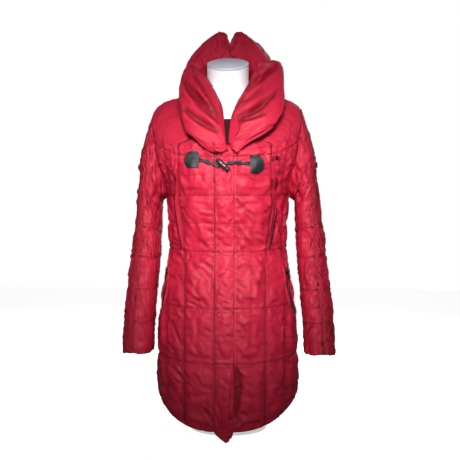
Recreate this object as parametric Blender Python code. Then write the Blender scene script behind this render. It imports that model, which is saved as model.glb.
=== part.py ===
"""A woman's quilted down coat, buttoned up on a limbless dress form that stands on a round plate.

Metres, +Z up, the coat's front faces -Y, and +X is the wearer's left. The origin is the middle of the plate's
underside. The coat is built the way it is cut: panels of padded wall on one torso surface, two sleeves of three
pieces each, a shawl collar whose back is a hood, a storm flap, straps, slanted zipped pockets and a toggle.
Every padded panel has a plain inside, and its quilting stands in the outer points alone.
"""

import math
from collections import namedtuple

import bmesh
import bpy
import numpy as np
from mathutils import Matrix, Vector
from mathutils.bvhtree import BVHTree

# ---------------------------------------------------------------- driving sizes

SEAM_GAP = 0.0004  # between two pieces that are sewn side by side
LAY_GAP = 0.0010  # between a trim and the panel that it lies on
SEAM_WALL = 0.004  # wall where it is stitched down
PUFF = 0.010  # how far the down stands above a stitched line

FLAP_HALF = 0.024  # the storm flap's half width
FLAP_WALL = 0.004
FLAP_DROP = 0.020  # its pointed end below the hem
FLAP_TOP = 6.2  # the level that it ends below
PRINCESS_LOW, PRINCESS_HIGH = 0.101, 0.116  # princess seams' distance from the middle, below and above the waist
SIDE_STITCH = 0.147  # the second seam, below the pocket
BACK_PRINCESS = 0.088
ARMHOLE_TUCK = 0.0022  # how far a sleeve starts inside the armhole's edge
ARMHOLE_SPREAD = math.radians(31)  # the armhole's half width, as an angle round the torso

# One row for each level of the coat's torso, bottom to top. half_width is at the side seam, front and back are depths
# from the middle, the three z are heights at the front, side and back, and corner is 1 for an ellipse, less for a
# squarer ring. The shoulder rows climb to the side, and the last row is the neckline, a V at the front.
Level = namedtuple("Level", "name half_width front back z_front z_side z_back corner")
TORSO = (
    Level("hem", 0.174, 0.158, 0.154, 0.028, 0.092, 0.030, 1.00),
    Level("lower_thigh", 0.176, 0.158, 0.156, 0.198, 0.208, 0.200, 0.98),
    Level("hip", 0.168, 0.152, 0.150, 0.334, 0.340, 0.334, 0.97),
    Level("waist", 0.148, 0.134, 0.124, 0.475, 0.480, 0.476, 0.97),
    Level("armpit", 0.154, 0.150, 0.138, 0.616, 0.618, 0.620, 0.92),
    Level("chest", 0.190, 0.150, 0.146, 0.690, 0.706, 0.710, 0.76),
    Level("yoke", 0.200, 0.146, 0.142, 0.712, 0.776, 0.785, 0.72),
    Level("shoulder_tip", 0.184, 0.144, 0.124, 0.726, 0.838, 0.848, 0.76),
    Level("neckline", 0.076, 0.138, 0.084, 0.740, 0.886, 0.884, 0.95),
)
SIDE_CLIMB = 3.0  # how late a ring climbs on its way from the front to the side
WAIST_LEVEL, ARMPIT_LEVEL, SHOULDER_LEVEL, NECK_LEVEL = 3, 4, 7, 8
QUILT_LEVELS = (0, 1, 2, 3, 4, 6, 8)  # the torso's stitched lines
SHORT_BAY = (0.0, 0.12, 0.5, 0.88)  # where the rows of a bay lie between its two stitched lines
LONG_BAY = (0.0, 0.08, 0.30, 0.54, 0.76, 0.93)
BAY_ROWS = (SHORT_BAY, SHORT_BAY, SHORT_BAY, SHORT_BAY, LONG_BAY, LONG_BAY)
BAY_SWELL = (1.0, 1.0, 1.0, 1.0, 1.0, 0.5)
PANEL_COLUMNS = (0.0, 0.14, 0.5, 0.86, 1.0)  # the same across a bay
NARROW_COLUMNS = (0.0, 0.25, 0.75, 1.0)

# One row for each stitched line of a sleeve, from the armhole to the cuff: the outer and inner points of the ring seen
# from the front, its half depth and how far it hangs forward.
Cuffward = namedtuple("Cuffward", "out_x out_z in_x in_z half_depth forward")
SLEEVE = (
    Cuffward(0.184, 0.838, 0.156, 0.622, 0.078, 0.000),
    Cuffward(0.213, 0.741, 0.179, 0.605, 0.080, 0.003),
    Cuffward(0.223, 0.649, 0.181, 0.580, 0.075, 0.007),
    Cuffward(0.233, 0.549, 0.182, 0.526, 0.067, 0.014),
    Cuffward(0.240, 0.467, 0.184, 0.456, 0.060, 0.023),
    Cuffward(0.249, 0.380, 0.189, 0.376, 0.056, 0.034),
    Cuffward(0.256, 0.294, 0.194, 0.294, 0.053, 0.045),
    Cuffward(0.260, 0.212, 0.196, 0.216, 0.050, 0.055),
)
SLEEVE_BAY = (0.0, 0.14, 0.5, 0.86)
SLEEVE_PUFF = 0.008
UNDERARM_FLAT = 0.9  # how much of the puff is left out under the arm
STRIP_HALF = 0.009  # half width of the gathered strip down each sleeve
STRIP_TURN_TOP, STRIP_TURN_LOW = math.radians(22), math.radians(70)  # where it runs round the sleeve
SWING = {"right": 0.002, "left": 0.012}  # how much further out a cuff hangs

# One row for each section of a lapel, from the foot of the V to the back of the neck: its inner edge, its outer edge
# and the place round the neckline where it is sewn on.
Lapel = namedtuple("Lapel", "inner outer turn plump")
LAPELS = {
    "right": (
        Lapel((0.010, -0.158, 0.728), (-0.006, -0.161, 0.716), 4, 0.006),
        Lapel((0.005, -0.152, 0.746), (-0.045, -0.160, 0.728), 12, 0.012),
        Lapel((-0.001, -0.130, 0.792), (-0.086, -0.150, 0.766), 26, 0.020),
        Lapel((-0.008, -0.110, 0.833), (-0.106, -0.125, 0.806), 42, 0.025),
        Lapel((-0.022, -0.090, 0.864), (-0.117, -0.090, 0.846), 56, 0.027),
        Lapel((-0.043, -0.055, 0.903), (-0.120, -0.048, 0.888), 76, 0.024),
        Lapel((-0.062, -0.020, 0.932), (-0.116, -0.005, 0.934), 96, 0.018),
        Lapel((-0.082, 0.014, 0.950), (-0.101, 0.020, 0.958), 108, 0.005),
    ),
    "left": (
        Lapel((0.018, -0.158, 0.730), (0.030, -0.161, 0.718), 8, 0.006),
        Lapel((0.010, -0.152, 0.748), (0.064, -0.158, 0.744), 14, 0.012),
        Lapel((0.012, -0.128, 0.786), (0.112, -0.146, 0.774), 28, 0.020),
        Lapel((0.019, -0.108, 0.820), (0.136, -0.122, 0.808), 43, 0.025),
        Lapel((0.031, -0.086, 0.850), (0.146, -0.084, 0.848), 57, 0.028),
        Lapel((0.055, -0.050, 0.900), (0.144, -0.044, 0.894), 76, 0.026),
        Lapel((0.074, -0.014, 0.936), (0.136, -0.003, 0.948), 96, 0.020),
        Lapel((0.090, 0.016, 0.954), (0.110, 0.022, 0.966), 108, 0.005),
    ),
}
LAPEL_ROWS_PER_SECTION = 2
LAPEL_POINTS = 14  # round each section
LAPEL_CREASE = 0.62  # how much of the swell is left in the crease
LAPEL_GAP = 0.004
SEWN_GAP = 0.0030  # between the neckline and what is sewn on along it

# One row for each section of a hood half, by its turn round the neck (180 is the middle of the back). Radii are from
# the neck's axis. The wall stands up from the neckline, rolls over at the crown and falls down the back.
Hood = namedtuple("Hood", "turn foot_r foot_z rim_r rim_z crown_r crown_z fall_r fall_z low_r low_z")
HOOD = (
    Hood(109, 0.082, 0.902, 0.080, 0.938, 0.106, 0.970, 0.126, 0.930, 0.130, 0.900),
    Hood(125, 0.088, 0.900, 0.076, 0.953, 0.110, 1.010, 0.146, 0.948, 0.150, 0.900),
    Hood(142, 0.093, 0.898, 0.074, 0.965, 0.110, 1.043, 0.168, 0.945, 0.172, 0.876),
    Hood(160, 0.096, 0.897, 0.074, 0.972, 0.112, 1.065, 0.186, 0.938, 0.190, 0.824),
    Hood(173, 0.097, 0.897, 0.074, 0.972, 0.110, 1.062, 0.190, 0.926, 0.192, 0.800),
    Hood(179.7, 0.097, 0.897, 0.072, 0.962, 0.102, 1.036, 0.184, 0.914, 0.190, 0.786),
)
HOOD_WALL = 0.020
HOOD_ROWS_PER_SECTION = 3
HOOD_GAP = 0.008
HOOD_SEWN_GAP = 0.0005

# The pocket zip on the wearer's left, top to bottom, as x and z on the front side panel; the right one mirrors it.
POCKET_TOP, POCKET_FOOT = (0.140, 0.436), (0.166, 0.312)
ZIP_HALF, ZIP_THICK, ZIP_GAP = 0.0055, 0.0016, 0.0016
SLIDER_AT = 0.10  # of the way down the zip
SLIDER_LONG, SLIDER_WIDE, SLIDER_THICK = 0.009, 0.008, 0.0024
EAR_HIGH, EYE_RADIUS = 0.0042, 0.0013
TAB_LONG, TAB_WIDE, TAB_THICK = 0.026, 0.0040, 0.0016
PIVOT_CLEAR = 0.0004

STRAP_HALF, STRAP_THICK, STRAP_GAP = 0.0065, 0.0022, 0.0019
STRAP_TOP, STRAP_FOOT = 5.75, 3.02  # levels of the torso

PATCH_X = 0.078  # middle of each leather patch from the middle of the coat
PATCH_Z = {"right": 0.703, "left": 0.693}
PATCH_LONG, PATCH_HIGH, PATCH_THICK, PATCH_GAP = 0.040, 0.0415, 0.0028, 0.0022
CORD_GAP = 0.0003
CORD_RADIUS, CORD_REACH = 0.0026, 0.005  # a cord lies as high as what is within its reach
TOGGLE_LONG, TOGGLE_RADIUS = 0.042, 0.0072
TOGGLE_AT, TOGGLE_TILT = (-0.002, 0.690), math.radians(-42)
TOGGLE_LIFT, CORD_END = 0.0016, 0.0139  # the toggle above the flap, and each cord's end from the toggle's middle

SLEEVE_POCKET_TURN = math.radians(10)  # middle of the patch pocket round the left sleeve
SLEEVE_POCKET_TOP, SLEEVE_POCKET_FOOT = 1.16, 1.92  # stitched lines of the sleeve
SLEEVE_POCKET_SPAN = math.radians(42)
SLEEVE_POCKET_THICK = 0.003
TAG_SPAN, TAG_LEVELS, TAG_THICK = math.radians(13), (1.42, 1.58), 0.0014

FORM_POINTS = 24
FORM_CLEAR = 0.024  # between the form and the coat's inside, away from the shoulders
FORM_SEAT = 0.0004  # the same on top of the shoulders, where the coat rests
FORM_FOOT_LEVEL = 0.95
NECK_BASE = (0.062, 0.058, 0.876, 0.004)  # half width, half depth, height, y
NECK_MID = (0.054, 0.052, 0.915, 0.000)
NECK_TOP = (0.0545, 0.0525, 0.955, -0.002)
CAP_TILT = 0.40  # rise of the neck's cut towards the back
CAP_THICK = 0.007
POST_RADIUS = 0.016
PLATE_RADIUS, PLATE_THICK, PLATE_EDGE = 0.100, 0.008, 0.002
STAND_BACK = 0.018  # how far the post and plate stand behind the middle of the coat
COLLET_RADIUS, COLLET_HIGH = 0.030, 0.028

COLOURS = {  # name: colour, roughness, metallic
    "shell": ((0.52, 0.012, 0.045), 0.38, 0.0),
    "leather": ((0.012, 0.011, 0.013), 0.42, 0.0),
    "cord": ((0.010, 0.010, 0.012), 0.60, 0.0),
    "horn": ((0.010, 0.009, 0.010), 0.18, 0.0),
    "tape": ((0.020, 0.016, 0.018), 0.70, 0.0),
    "metal": ((0.060, 0.058, 0.060), 0.32, 1.0),
    "form_cloth": ((0.86, 0.85, 0.88), 0.62, 0.0),
    "form_cap": ((0.62, 0.62, 0.74), 0.45, 0.0),
    "stand_white": ((0.80, 0.80, 0.81), 0.40, 0.0),
}


# ---------------------------------------------------------------- small tools


def spline(rows, place):
    """Smooth curve through evenly numbered rows of numbers, read at a place between them, straight beyond the ends."""
    rows = np.asarray(rows, float)
    last = len(rows) - 1
    if place <= 0.0:
        return rows[0] + (rows[1] - rows[0]) * place
    if place >= last:
        return rows[last] + (rows[last] - rows[last - 1]) * (place - last)
    i = int(place)
    f = place - i
    start, end = rows[i], rows[i + 1]
    slope_in = (end - rows[max(i - 1, 0)]) / 2.0
    slope_out = (rows[min(i + 2, last)] - start) / 2.0
    return (
        start * (2 * f**3 - 3 * f**2 + 1)
        + slope_in * (f**3 - 2 * f**2 + f)
        + end * (3 * f**2 - 2 * f**3)
        + slope_out * (f**3 - f**2)
    )


def steps(start, end, count):
    return [start + (end - start) * i / count for i in range(count + 1)]


def swell(share):
    """0 on a stitched line, 1 in the middle of a bay."""
    return max(math.sin(math.pi * min(max(share, 0.0), 1.0)), 0.0) ** 0.7


def material(name):
    found = bpy.data.materials.get(name)
    if found:
        return found
    colour, roughness, metallic = COLOURS[name]
    made = bpy.data.materials.new(name)
    made.use_nodes = True
    shader = made.node_tree.nodes["Principled BSDF"]
    shader.inputs["Base Color"].default_value = (*colour, 1.0)
    shader.inputs["Roughness"].default_value = roughness
    shader.inputs["Metallic"].default_value = metallic
    return made


def add(name, bm, surface, parent, smooth=True):
    """Closes a bmesh into an object of the coat's collection, with its faces pointing out."""
    bmesh.ops.recalc_face_normals(bm, faces=bm.faces)
    mesh = bpy.data.meshes.new(name)
    bm.to_mesh(mesh)
    bm.free()
    if smooth:
        mesh.shade_smooth()
        mesh.set_sharp_from_angle(angle=math.radians(50))
    mesh.materials.append(material(surface))
    made = bpy.data.objects.new(name, mesh)
    made.parent = parent
    bpy.context.scene.collection.children["down_coat_on_form"].objects.link(made)
    return made


def wall(name, skin, lining, surface, parent):
    """A closed wall between two grids of points: the outer skin and the plain inside."""
    bm = bmesh.new()
    outer = [[bm.verts.new(p) for p in row] for row in skin]
    inner = [[bm.verts.new(p) for p in row] for row in lining]
    rows, columns = len(outer), len(outer[0])
    for grid in (outer, inner):
        for i in range(rows - 1):
            for j in range(columns - 1):
                bm.faces.new((grid[i][j], grid[i][j + 1], grid[i + 1][j + 1], grid[i + 1][j]))
    rim = [(0, j) for j in range(columns)] + [(i, columns - 1) for i in range(1, rows)]
    rim += [(rows - 1, j) for j in range(columns - 2, -1, -1)] + [(i, 0) for i in range(rows - 2, 0, -1)]
    for (i, j), (k, m) in zip(rim, rim[1:] + rim[:1]):
        bm.faces.new((outer[i][j], outer[k][m], inner[k][m], inner[i][j]))
    return add(name, bm, surface, parent)


def loft(name, loops, surface, parent):
    """A closed solid through rings of points, capped at both ends."""
    bm = bmesh.new()
    rings = [[bm.verts.new(p) for p in loop] for loop in loops]
    count = len(rings[0])
    for lower, upper in zip(rings, rings[1:]):
        for j in range(count):
            k = (j + 1) % count
            bm.faces.new((lower[j], lower[k], upper[k], upper[j]))
    for ring in (rings[0], rings[-1]):
        bm.faces.new(ring)
    return add(name, bm, surface, parent)


def closed_curve(corners, count):
    """Points spaced along a smooth closed curve through a few corners."""
    corners = np.asarray(corners, float)
    size = len(corners)
    made = []
    for i in range(count):
        place = size * i / count
        k, f = int(place), place - int(place)
        before, start, end, after = (corners[(k + d) % size] for d in (-1, 0, 1, 2))
        made.append(
            0.5
            * (
                2 * start
                + (end - before) * f
                + (2 * before - 5 * start + 4 * end - after) * f**2
                + (3 * start - 3 * end + after - before) * f**3
            )
        )
    return made


def tree_of(objects):
    """One search tree over the faces of several objects."""
    points, faces = [], []
    for made in objects:
        base = len(points)
        points += [v.co.copy() for v in made.data.vertices]
        faces += [[base + i for i in polygon.vertices] for polygon in made.data.polygons]
    return BVHTree.FromPolygons(points, faces)


def clear_of(tree, point, gap):
    """The point, moved out of the wall below it if it is inside or nearer than the gap."""
    near, normal, _, _ = tree.find_nearest(Vector(point))
    away = Vector(point) - near
    if away.dot(normal) < gap:
        return near + normal * gap
    return Vector(point)


def seated(tree, point, gap):
    """The nearest place on the wall, lifted by a gap."""
    near, normal, _, _ = tree.find_nearest(Vector(point))
    return near + normal * gap


def beside(tree, point, sign, gap):
    """The point, moved sideways out of the body's wall if it is inside or nearer than the gap."""
    far = Vector((sign * 0.35, point[1], point[2]))
    hit, _, _, _ = tree.ray_cast(far, Vector((-sign, 0.0, 0.0)), 0.25)
    if hit is None or sign * point[0] > sign * hit.x + gap:
        return Vector(point)
    return Vector((hit.x + sign * gap, point[1], point[2]))


def laid_on(tree, point, out, gap):
    """The place on the outermost wall under a point, looking inwards, lifted by a gap."""
    reach = 0.05
    hit, _, _, _ = tree.ray_cast(Vector(point) + Vector(out) * reach, -Vector(out), 2 * reach)
    return (hit if hit else Vector(point)) + Vector(out) * gap


# ---------------------------------------------------------------- the torso


def torso(turn, level):
    """The inside of the coat's torso. turn is 0 at the middle of the front and grows to the wearer's left."""
    half_width, front, back, z_front, z_side, z_back, corner = spline([row[1:] for row in TORSO], level)
    across, along = math.sin(turn), math.cos(turn)
    depth, z_middle = (front, z_front) if along > 0 else (back, z_back)
    climb = abs(across) ** SIDE_CLIMB
    return np.array(
        (
            half_width * math.copysign(abs(across) ** corner, across),
            -depth * along,
            z_middle + (z_side - z_middle) * climb,
        )
    )


def outward(surface, u, v, step=1e-3):
    """Unit normal of a surface of two parameters."""
    normal = np.cross(surface(u + step, v) - surface(u - step, v), surface(u, v + step) - surface(u, v - step))
    return normal / np.linalg.norm(normal)


def torso_out(turn, level, lift):
    return torso(turn, level) + outward(torso, turn, level) * lift


def front_turn(x, level):
    """The turn at which the front of the torso lies x from the middle."""
    half_width, *_, corner = spline([row[1:] for row in TORSO], level)
    share = min(abs(x) / half_width, 1.0) ** (1.0 / corner)
    return math.copysign(math.asin(share), x)


def princess_x(level):
    rise = min(max((level - WAIST_LEVEL) / 0.8, 0.0), 1.0)
    spread = PRINCESS_LOW + (PRINCESS_HIGH - PRINCESS_LOW) * rise
    closing = min(max((level - SHOULDER_LEVEL) / (NECK_LEVEL - SHOULDER_LEVEL), 0.0), 1.0)
    return spread + (0.050 - spread) * closing


def back_x(level):
    closing = min(max((level - SHOULDER_LEVEL) / (NECK_LEVEL - SHOULDER_LEVEL), 0.0), 1.0)
    return BACK_PRINCESS + (0.045 - BACK_PRINCESS) * closing


def armhole(level):
    """How far the armhole cuts back from the side seam at this level, as an angle."""
    middle = (ARMPIT_LEVEL + SHOULDER_LEVEL) / 2
    reach = (SHOULDER_LEVEL - ARMPIT_LEVEL) / 2
    return ARMHOLE_SPREAD * math.sqrt(max(1.0 - ((level - middle) / reach) ** 2, 0.0))


def seam_side(level):
    return math.pi / 2 - armhole(level)


def seam_princess(level):
    return front_turn(princess_x(level), level)


def seam_stitch(level):
    """The seam below the pocket, which above the armpit keeps its share of the way to the armhole."""
    low = front_turn(min(SIDE_STITCH, 0.93 * spline([row[1:] for row in TORSO], level)[0]), level)
    share = min(max((level - WAIST_LEVEL) / 1.0, 0.0), 1.0)
    middle = (seam_princess(level) + seam_side(level)) / 2
    return low + (middle - low) * share


def seam_back(level):
    return math.pi - front_turn(back_x(level), level)


def panel_rows():
    """Every row of a torso panel, as its level and how far it stands in its bay."""
    rows = []
    for low, high, shares, full in zip(QUILT_LEVELS, QUILT_LEVELS[1:], BAY_ROWS, BAY_SWELL):
        rows += [(low + (high - low) * share, swell(share) * full) for share in shares]
    return rows + [(QUILT_LEVELS[-1], 0.0)]


def torso_panel(name, seams, bays, swells, parent, sign=1):
    """A padded panel between seams, given as turns by level. bays place its columns between two seams."""
    skin, lining = [], []
    for level, rise in panel_rows():
        turns, columns = [seam(level) for seam in seams], []
        for k, (left, right) in enumerate(zip(turns, turns[1:])):
            for share in bays[k] if k == len(bays) - 1 else bays[k][:-1]:
                columns.append((left + (right - left) * share, swell(share) * swells[k]))
        # Each panel stops half a gap short of its outer seams.
        inset = SEAM_GAP / 2 / max(np.linalg.norm(torso(turns[0], level)[:2]), 0.05)
        columns[0] = (columns[0][0] + inset, 0.0)
        columns[-1] = (columns[-1][0] - inset, 0.0)
        skin.append([torso_out(sign * turn, level, SEAM_WALL + PUFF * rise * bulge) for turn, bulge in columns])
        lining.append([torso(sign * turn, level) for turn, _ in columns])
    return wall(name, skin, lining, "shell", parent)


def build_torso(parent):
    """The seven panels of the coat's body."""
    made = {}
    edge = FLAP_HALF + SEAM_GAP
    under = FLAP_HALF - 0.008
    for side, sign in (("right", -1), ("left", 1)):
        # The wearer's right front ends where the storm flap is sewn on, and the left one runs on below the flap.
        if side == "right":
            seams = [lambda level: front_turn(edge, level), seam_princess]
            bays, swells = (PANEL_COLUMNS,), (1.0,)
        else:
            seams = [
                lambda level: front_turn(-under, level),
                lambda level: front_turn(edge + 0.002, level),
                seam_princess,
            ]
            bays, swells = ((0.0, 1.0), PANEL_COLUMNS), (0.0, 1.0)
        made[f"front_centre_{side}"] = torso_panel(f"front_centre_{side}", seams, bays, swells, parent, sign)
        made[f"front_side_{side}"] = torso_panel(
            f"front_side_{side}",
            [seam_princess, seam_stitch, seam_side],
            (NARROW_COLUMNS, NARROW_COLUMNS),
            (0.8, 0.8),
            parent,
            sign,
        )
        made[f"back_side_{side}"] = torso_panel(
            f"back_side_{side}",
            [lambda level: math.pi / 2 + armhole(level), seam_back],
            (PANEL_COLUMNS,),
            (1.0,),
            parent,
            sign,
        )
    made["back_centre"] = torso_panel(
        "back_centre",
        [seam_back, lambda level: math.pi, lambda level: 2 * math.pi - seam_back(level)],
        (NARROW_COLUMNS, NARROW_COLUMNS),
        (0.9, 0.9),
        parent,
    )
    return made


def build_flap(parent):
    """The storm flap, sewn to the right front and lying over the left one, with a pointed end below the hem."""
    lift = SEAM_WALL + LAY_GAP
    half = FLAP_HALF - SEAM_GAP / 2
    # Each row is a level, its share of the full width, and its rise. Below level 0 lies the pointed end.
    rows = [(-0.10, 0.12, 0.0), (-0.06, 0.42, 0.3), (-0.02, 0.95, 0.2)]
    rows += [(level, 1.0, rise) for level, rise in panel_rows() if level < FLAP_TOP]
    skin, lining = [], []
    for level, share, rise in rows:
        columns = steps(-half * share, half * share, 4)
        bulges = [swell(i / 4) for i in range(5)]
        turns = [front_turn(x + 0.002 * (1 - share), max(level, 0.0)) for x in columns]
        drop = np.array((0.0, 0.0, FLAP_DROP * min(level, 0.0) / 0.1))
        at = max(level, 0.0)
        lining.append([torso_out(turn, at, lift) + drop for turn in turns])
        skin.append(
            [
                torso_out(turn, at, lift + FLAP_WALL + 0.5 * PUFF * rise * bulge) + drop
                for turn, bulge in zip(turns, bulges)
            ]
        )
    return wall("storm_flap", skin, lining, "shell", parent)


# ---------------------------------------------------------------- sleeves


def sleeve_surface(side):
    """The inside of one sleeve, and the way out of it, by turn (0 outside or on top, positive to the front) and
    stitched line."""
    sign = -1 if side == "right" else 1

    def ring(turn, line):
        out_x, out_z, in_x, in_z, half_depth, forward = spline(SLEEVE, line)
        hang = SWING[side] * min(max(line / (len(SLEEVE) - 1), 0.0), 1.0) ** 1.3
        middle = np.array(((out_x + in_x) / 2 + hang, -forward, (out_z + in_z) / 2))
        reach = np.array(((out_x - in_x) / 2, 0.0, (out_z - in_z) / 2))
        return middle + reach * math.cos(turn) + np.array((0.0, -half_depth * math.sin(turn), 0.0))

    def armhole_point(turn):
        """The armhole's edge runs straight from row to row of the panels, and the sleeve stays just inside it."""
        middle, reach = (ARMPIT_LEVEL + SHOULDER_LEVEL) / 2, (SHOULDER_LEVEL - ARMPIT_LEVEL) / 2
        level = middle + reach * math.cos(turn)
        levels = [row for row, _ in panel_rows()]
        above = next((row for row in levels if row >= level), levels[-1])
        below = max(row for row in levels if row <= level)
        facing = math.copysign(1.0, math.sin(turn))
        low = torso(math.pi / 2 - facing * armhole(below), below)
        high = torso(math.pi / 2 - facing * armhole(above), above)
        share = (level - below) / (above - below) if above > below else 0.0
        edge = low + (high - low) * share
        inward = torso(math.pi / 2, middle) - edge
        return edge + inward / np.linalg.norm(inward) * ARMHOLE_TUCK

    def seam_normal(turn):
        """The way out of the torso beside a point of the armhole."""
        middle, reach = (ARMPIT_LEVEL + SHOULDER_LEVEL) / 2, (SHOULDER_LEVEL - ARMPIT_LEVEL) / 2
        level = middle + reach * math.cos(turn)
        return outward(torso, math.pi / 2 - armhole(level) * math.copysign(1.0, math.sin(turn)), level)

    def point(turn, line):
        fade = max(1.0 - line / 1.15, 0.0) ** 2
        place = ring(turn, line)
        place = place + (armhole_point(turn) - ring(turn, 0.0)) * fade
        return place * np.array((sign, 1.0, 1.0))

    def normal(turn, line):
        if line == 0.0:
            return seam_normal(turn) * np.array((sign, 1.0, 1.0))
        own = outward(point, turn, line) * sign
        near_seam = max(1.0 - line / 0.6, 0.0)
        mixed = own + seam_normal(turn) * np.array((sign, 1.0, 1.0)) * 2.0 * near_seam
        return mixed / np.linalg.norm(mixed)

    return point, normal


def strip_turn(line):
    share = min(max(line / 2.5, 0.0), 1.0)
    return STRIP_TURN_TOP + (STRIP_TURN_LOW - STRIP_TURN_TOP) * share


def sleeve_rows():
    rows = [(bay + share, swell(share)) for bay in range(len(SLEEVE) - 1) for share in SLEEVE_BAY]
    return rows + [(len(SLEEVE) - 1, 0.0)]


def sleeve_piece(name, side, first, last, columns, puff, body, parent, gathers=0.0):
    """One piece of a sleeve between two turns, given by stitched line, kept clear of the body's panels."""
    surface, way_out = sleeve_surface(side)
    sign = -1 if side == "right" else 1
    skin, lining = [], []
    for i, (line, rise) in enumerate(sleeve_rows()):
        row_skin, row_lining = [], []
        for share in steps(0.0, 1.0, columns):
            turn = first(line) + (last(line) - first(line)) * share
            normal = way_out(turn, line)
            rise = 1.0 if gathers else rise
            wave = gathers * (i % 2) * swell(share)
            near_armpit = max(-math.cos(turn), 0.0) * min(max(2.0 - line, 0.0), 1.0)
            full = puff * rise * swell(share) * (1.0 - UNDERARM_FLAT * near_armpit) * min(line / 0.5, 1.0)
            place = surface(turn, line)
            skin_place = place + normal * (SEAM_WALL * (1.0 - 0.4 * near_armpit) + full + wave)
            if 0.0 < line < 3.0 and math.cos(turn) < 0.2:
                skin_place = beside(body, skin_place, sign, LAY_GAP)
                place = beside(body, place, sign, LAY_GAP + 0.0025)
            row_lining.append(place)
            row_skin.append(skin_place)
        skin.append(row_skin)
        lining.append(row_lining)
    return wall(name, skin, lining, "shell", parent)


def build_sleeve(side, body, parent):
    """Front piece, back piece and the gathered strip between them."""
    half = STRIP_HALF / 0.055
    gap = 2 * SEAM_GAP / 0.055
    made = {}
    made[f"sleeve_front_{side}"] = sleeve_piece(
        f"sleeve_front_{side}",
        side,
        lambda line: strip_turn(line) + half + gap,
        lambda line: math.pi - gap / 2,
        5,
        SLEEVE_PUFF,
        body,
        parent,
    )
    made[f"sleeve_back_{side}"] = sleeve_piece(
        f"sleeve_back_{side}",
        side,
        lambda line: -math.pi + gap / 2,
        lambda line: strip_turn(line) - half - gap,
        8,
        SLEEVE_PUFF,
        body,
        parent,
    )
    made[f"sleeve_strip_{side}"] = sleeve_piece(
        f"sleeve_strip_{side}",
        side,
        lambda line: strip_turn(line) - half,
        lambda line: strip_turn(line) + half,
        2,
        0.002,
        body,
        parent,
        gathers=0.0016,
    )
    return made


# ---------------------------------------------------------------- collar and hood


def build_lapel(side, body, parent):
    """A plump lapel from the foot of the V to the back of the neck, lying on the shoulder."""
    sign = -1 if side == "right" else 1
    rows = LAPELS[side]
    inner, outer = [row.inner for row in rows], [row.outer for row in rows]
    turns, plump = [[row.turn] for row in rows], [[row.plump] for row in rows]
    loops = []
    for place in steps(0.0, len(rows) - 1, (len(rows) - 1) * LAPEL_ROWS_PER_SECTION):
        near, far = spline(inner, place), spline(outer, place)
        turn = math.radians(float(spline(turns, place)[0]))
        full = float(spline(plump, place)[0])
        seam = torso_out(sign * turn, NECK_LEVEL - 0.1, SEAM_WALL + SEWN_GAP)
        face = np.array((0.25 * sign, -math.cos(turn) - 0.35, 0.55))
        face /= np.linalg.norm(face)
        # The face has one long crease down its middle, between two swells.
        corners = (
            near,
            near + (far - near) * 0.27 + face * full,
            near + (far - near) * 0.52 + face * full * LAPEL_CREASE,
            near + (far - near) * 0.76 + face * full,
            far,
            (far + seam) / 2 - face * 0.3 * full,
            seam,
        )
        loop = [clear_of(body, p, LAPEL_GAP) for p in closed_curve(corners, LAPEL_POINTS)]
        loop[LAPEL_POINTS * 6 // 7] = seated(body, seam, SEWN_GAP)
        loops.append(loop)
    return loft(f"collar_{side}", loops, "shell", parent)


def build_hood(side, body, parent):
    """Half of the hood: a padded wall that stands behind the neck, rolls over and falls down the back."""
    sign = -1 if side == "right" else 1
    loops = []
    for place in steps(0.0, len(HOOD) - 1, (len(HOOD) - 1) * HOOD_ROWS_PER_SECTION):
        row = Hood(*spline(HOOD, place))
        turn = math.radians(min(row.turn, 179.8))
        gone = sign * math.sin(turn), -math.cos(turn)
        across = row.fall_r - row.foot_r
        thick = min(HOOD_WALL, 0.42 * across)
        outline = (
            (row.foot_r, row.foot_z),
            (row.rim_r, row.rim_z),
            ((row.rim_r + row.crown_r) / 2 - 0.006, (row.rim_z + row.crown_z) / 2 + 0.012),
            (row.crown_r, row.crown_z),
            (row.crown_r + 0.72 * (row.fall_r - row.crown_r), row.crown_z - 0.25 * (row.crown_z - row.fall_z)),
            (row.fall_r, row.fall_z),
            (row.low_r, row.low_z),
            (row.low_r - thick, row.low_z + 0.002),
            (row.fall_r - thick, row.fall_z),
            (row.foot_r + thick, row.foot_z + 0.30 * (row.crown_z - row.foot_z)),
            (row.foot_r + 0.8 * thick, row.foot_z + 0.002),
        )
        points = [(r * gone[0], r * gone[1], z) for r, z in closed_curve(outline, 22)]
        points = [clear_of(body, p, HOOD_GAP) for p in points]
        points[0] = seated(body, points[0], HOOD_SEWN_GAP)
        loops.append(points)
    return loft(f"hood_{side}", loops, "shell", parent)


# ---------------------------------------------------------------- trims on the panels


def trim(name, centre_line, half_width, thick, tree, surface, parent, gap=LAY_GAP, columns=2):
    """A strip of even width laid on the panels. centre_line holds its points with their outward directions."""
    skin, lining = [], []
    places = [Vector(p) for p, _ in centre_line]
    for i, (point, normal) in enumerate(centre_line):
        ahead = places[min(i + 1, len(places) - 1)] - places[max(i - 1, 0)]
        across = Vector(normal).cross(ahead).normalized()
        row = [Vector(point) + across * x for x in steps(-half_width, half_width, columns)]
        low = [laid_on(tree, p, normal, gap) for p in row]
        lining.append(low)
        skin.append([p + Vector(normal) * thick for p in low])
    return wall(name, skin, lining, surface, parent)


def build_strap(side, tree, parent):
    """The narrow stitched strap over the princess seam, from under the collar to the waist."""
    sign = -1 if side == "right" else 1
    line = []
    levels = [level for level, _ in panel_rows() if STRAP_FOOT < level < STRAP_TOP]
    for level in [STRAP_TOP, *reversed(levels), STRAP_FOOT]:
        turn = sign * front_turn(princess_x(level), level)
        line.append((torso_out(turn, level, SEAM_WALL), outward(torso, turn, level)))
    return trim(f"strap_{side}", line, STRAP_HALF, STRAP_THICK, tree, "shell", parent, STRAP_GAP, 4)


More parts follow.
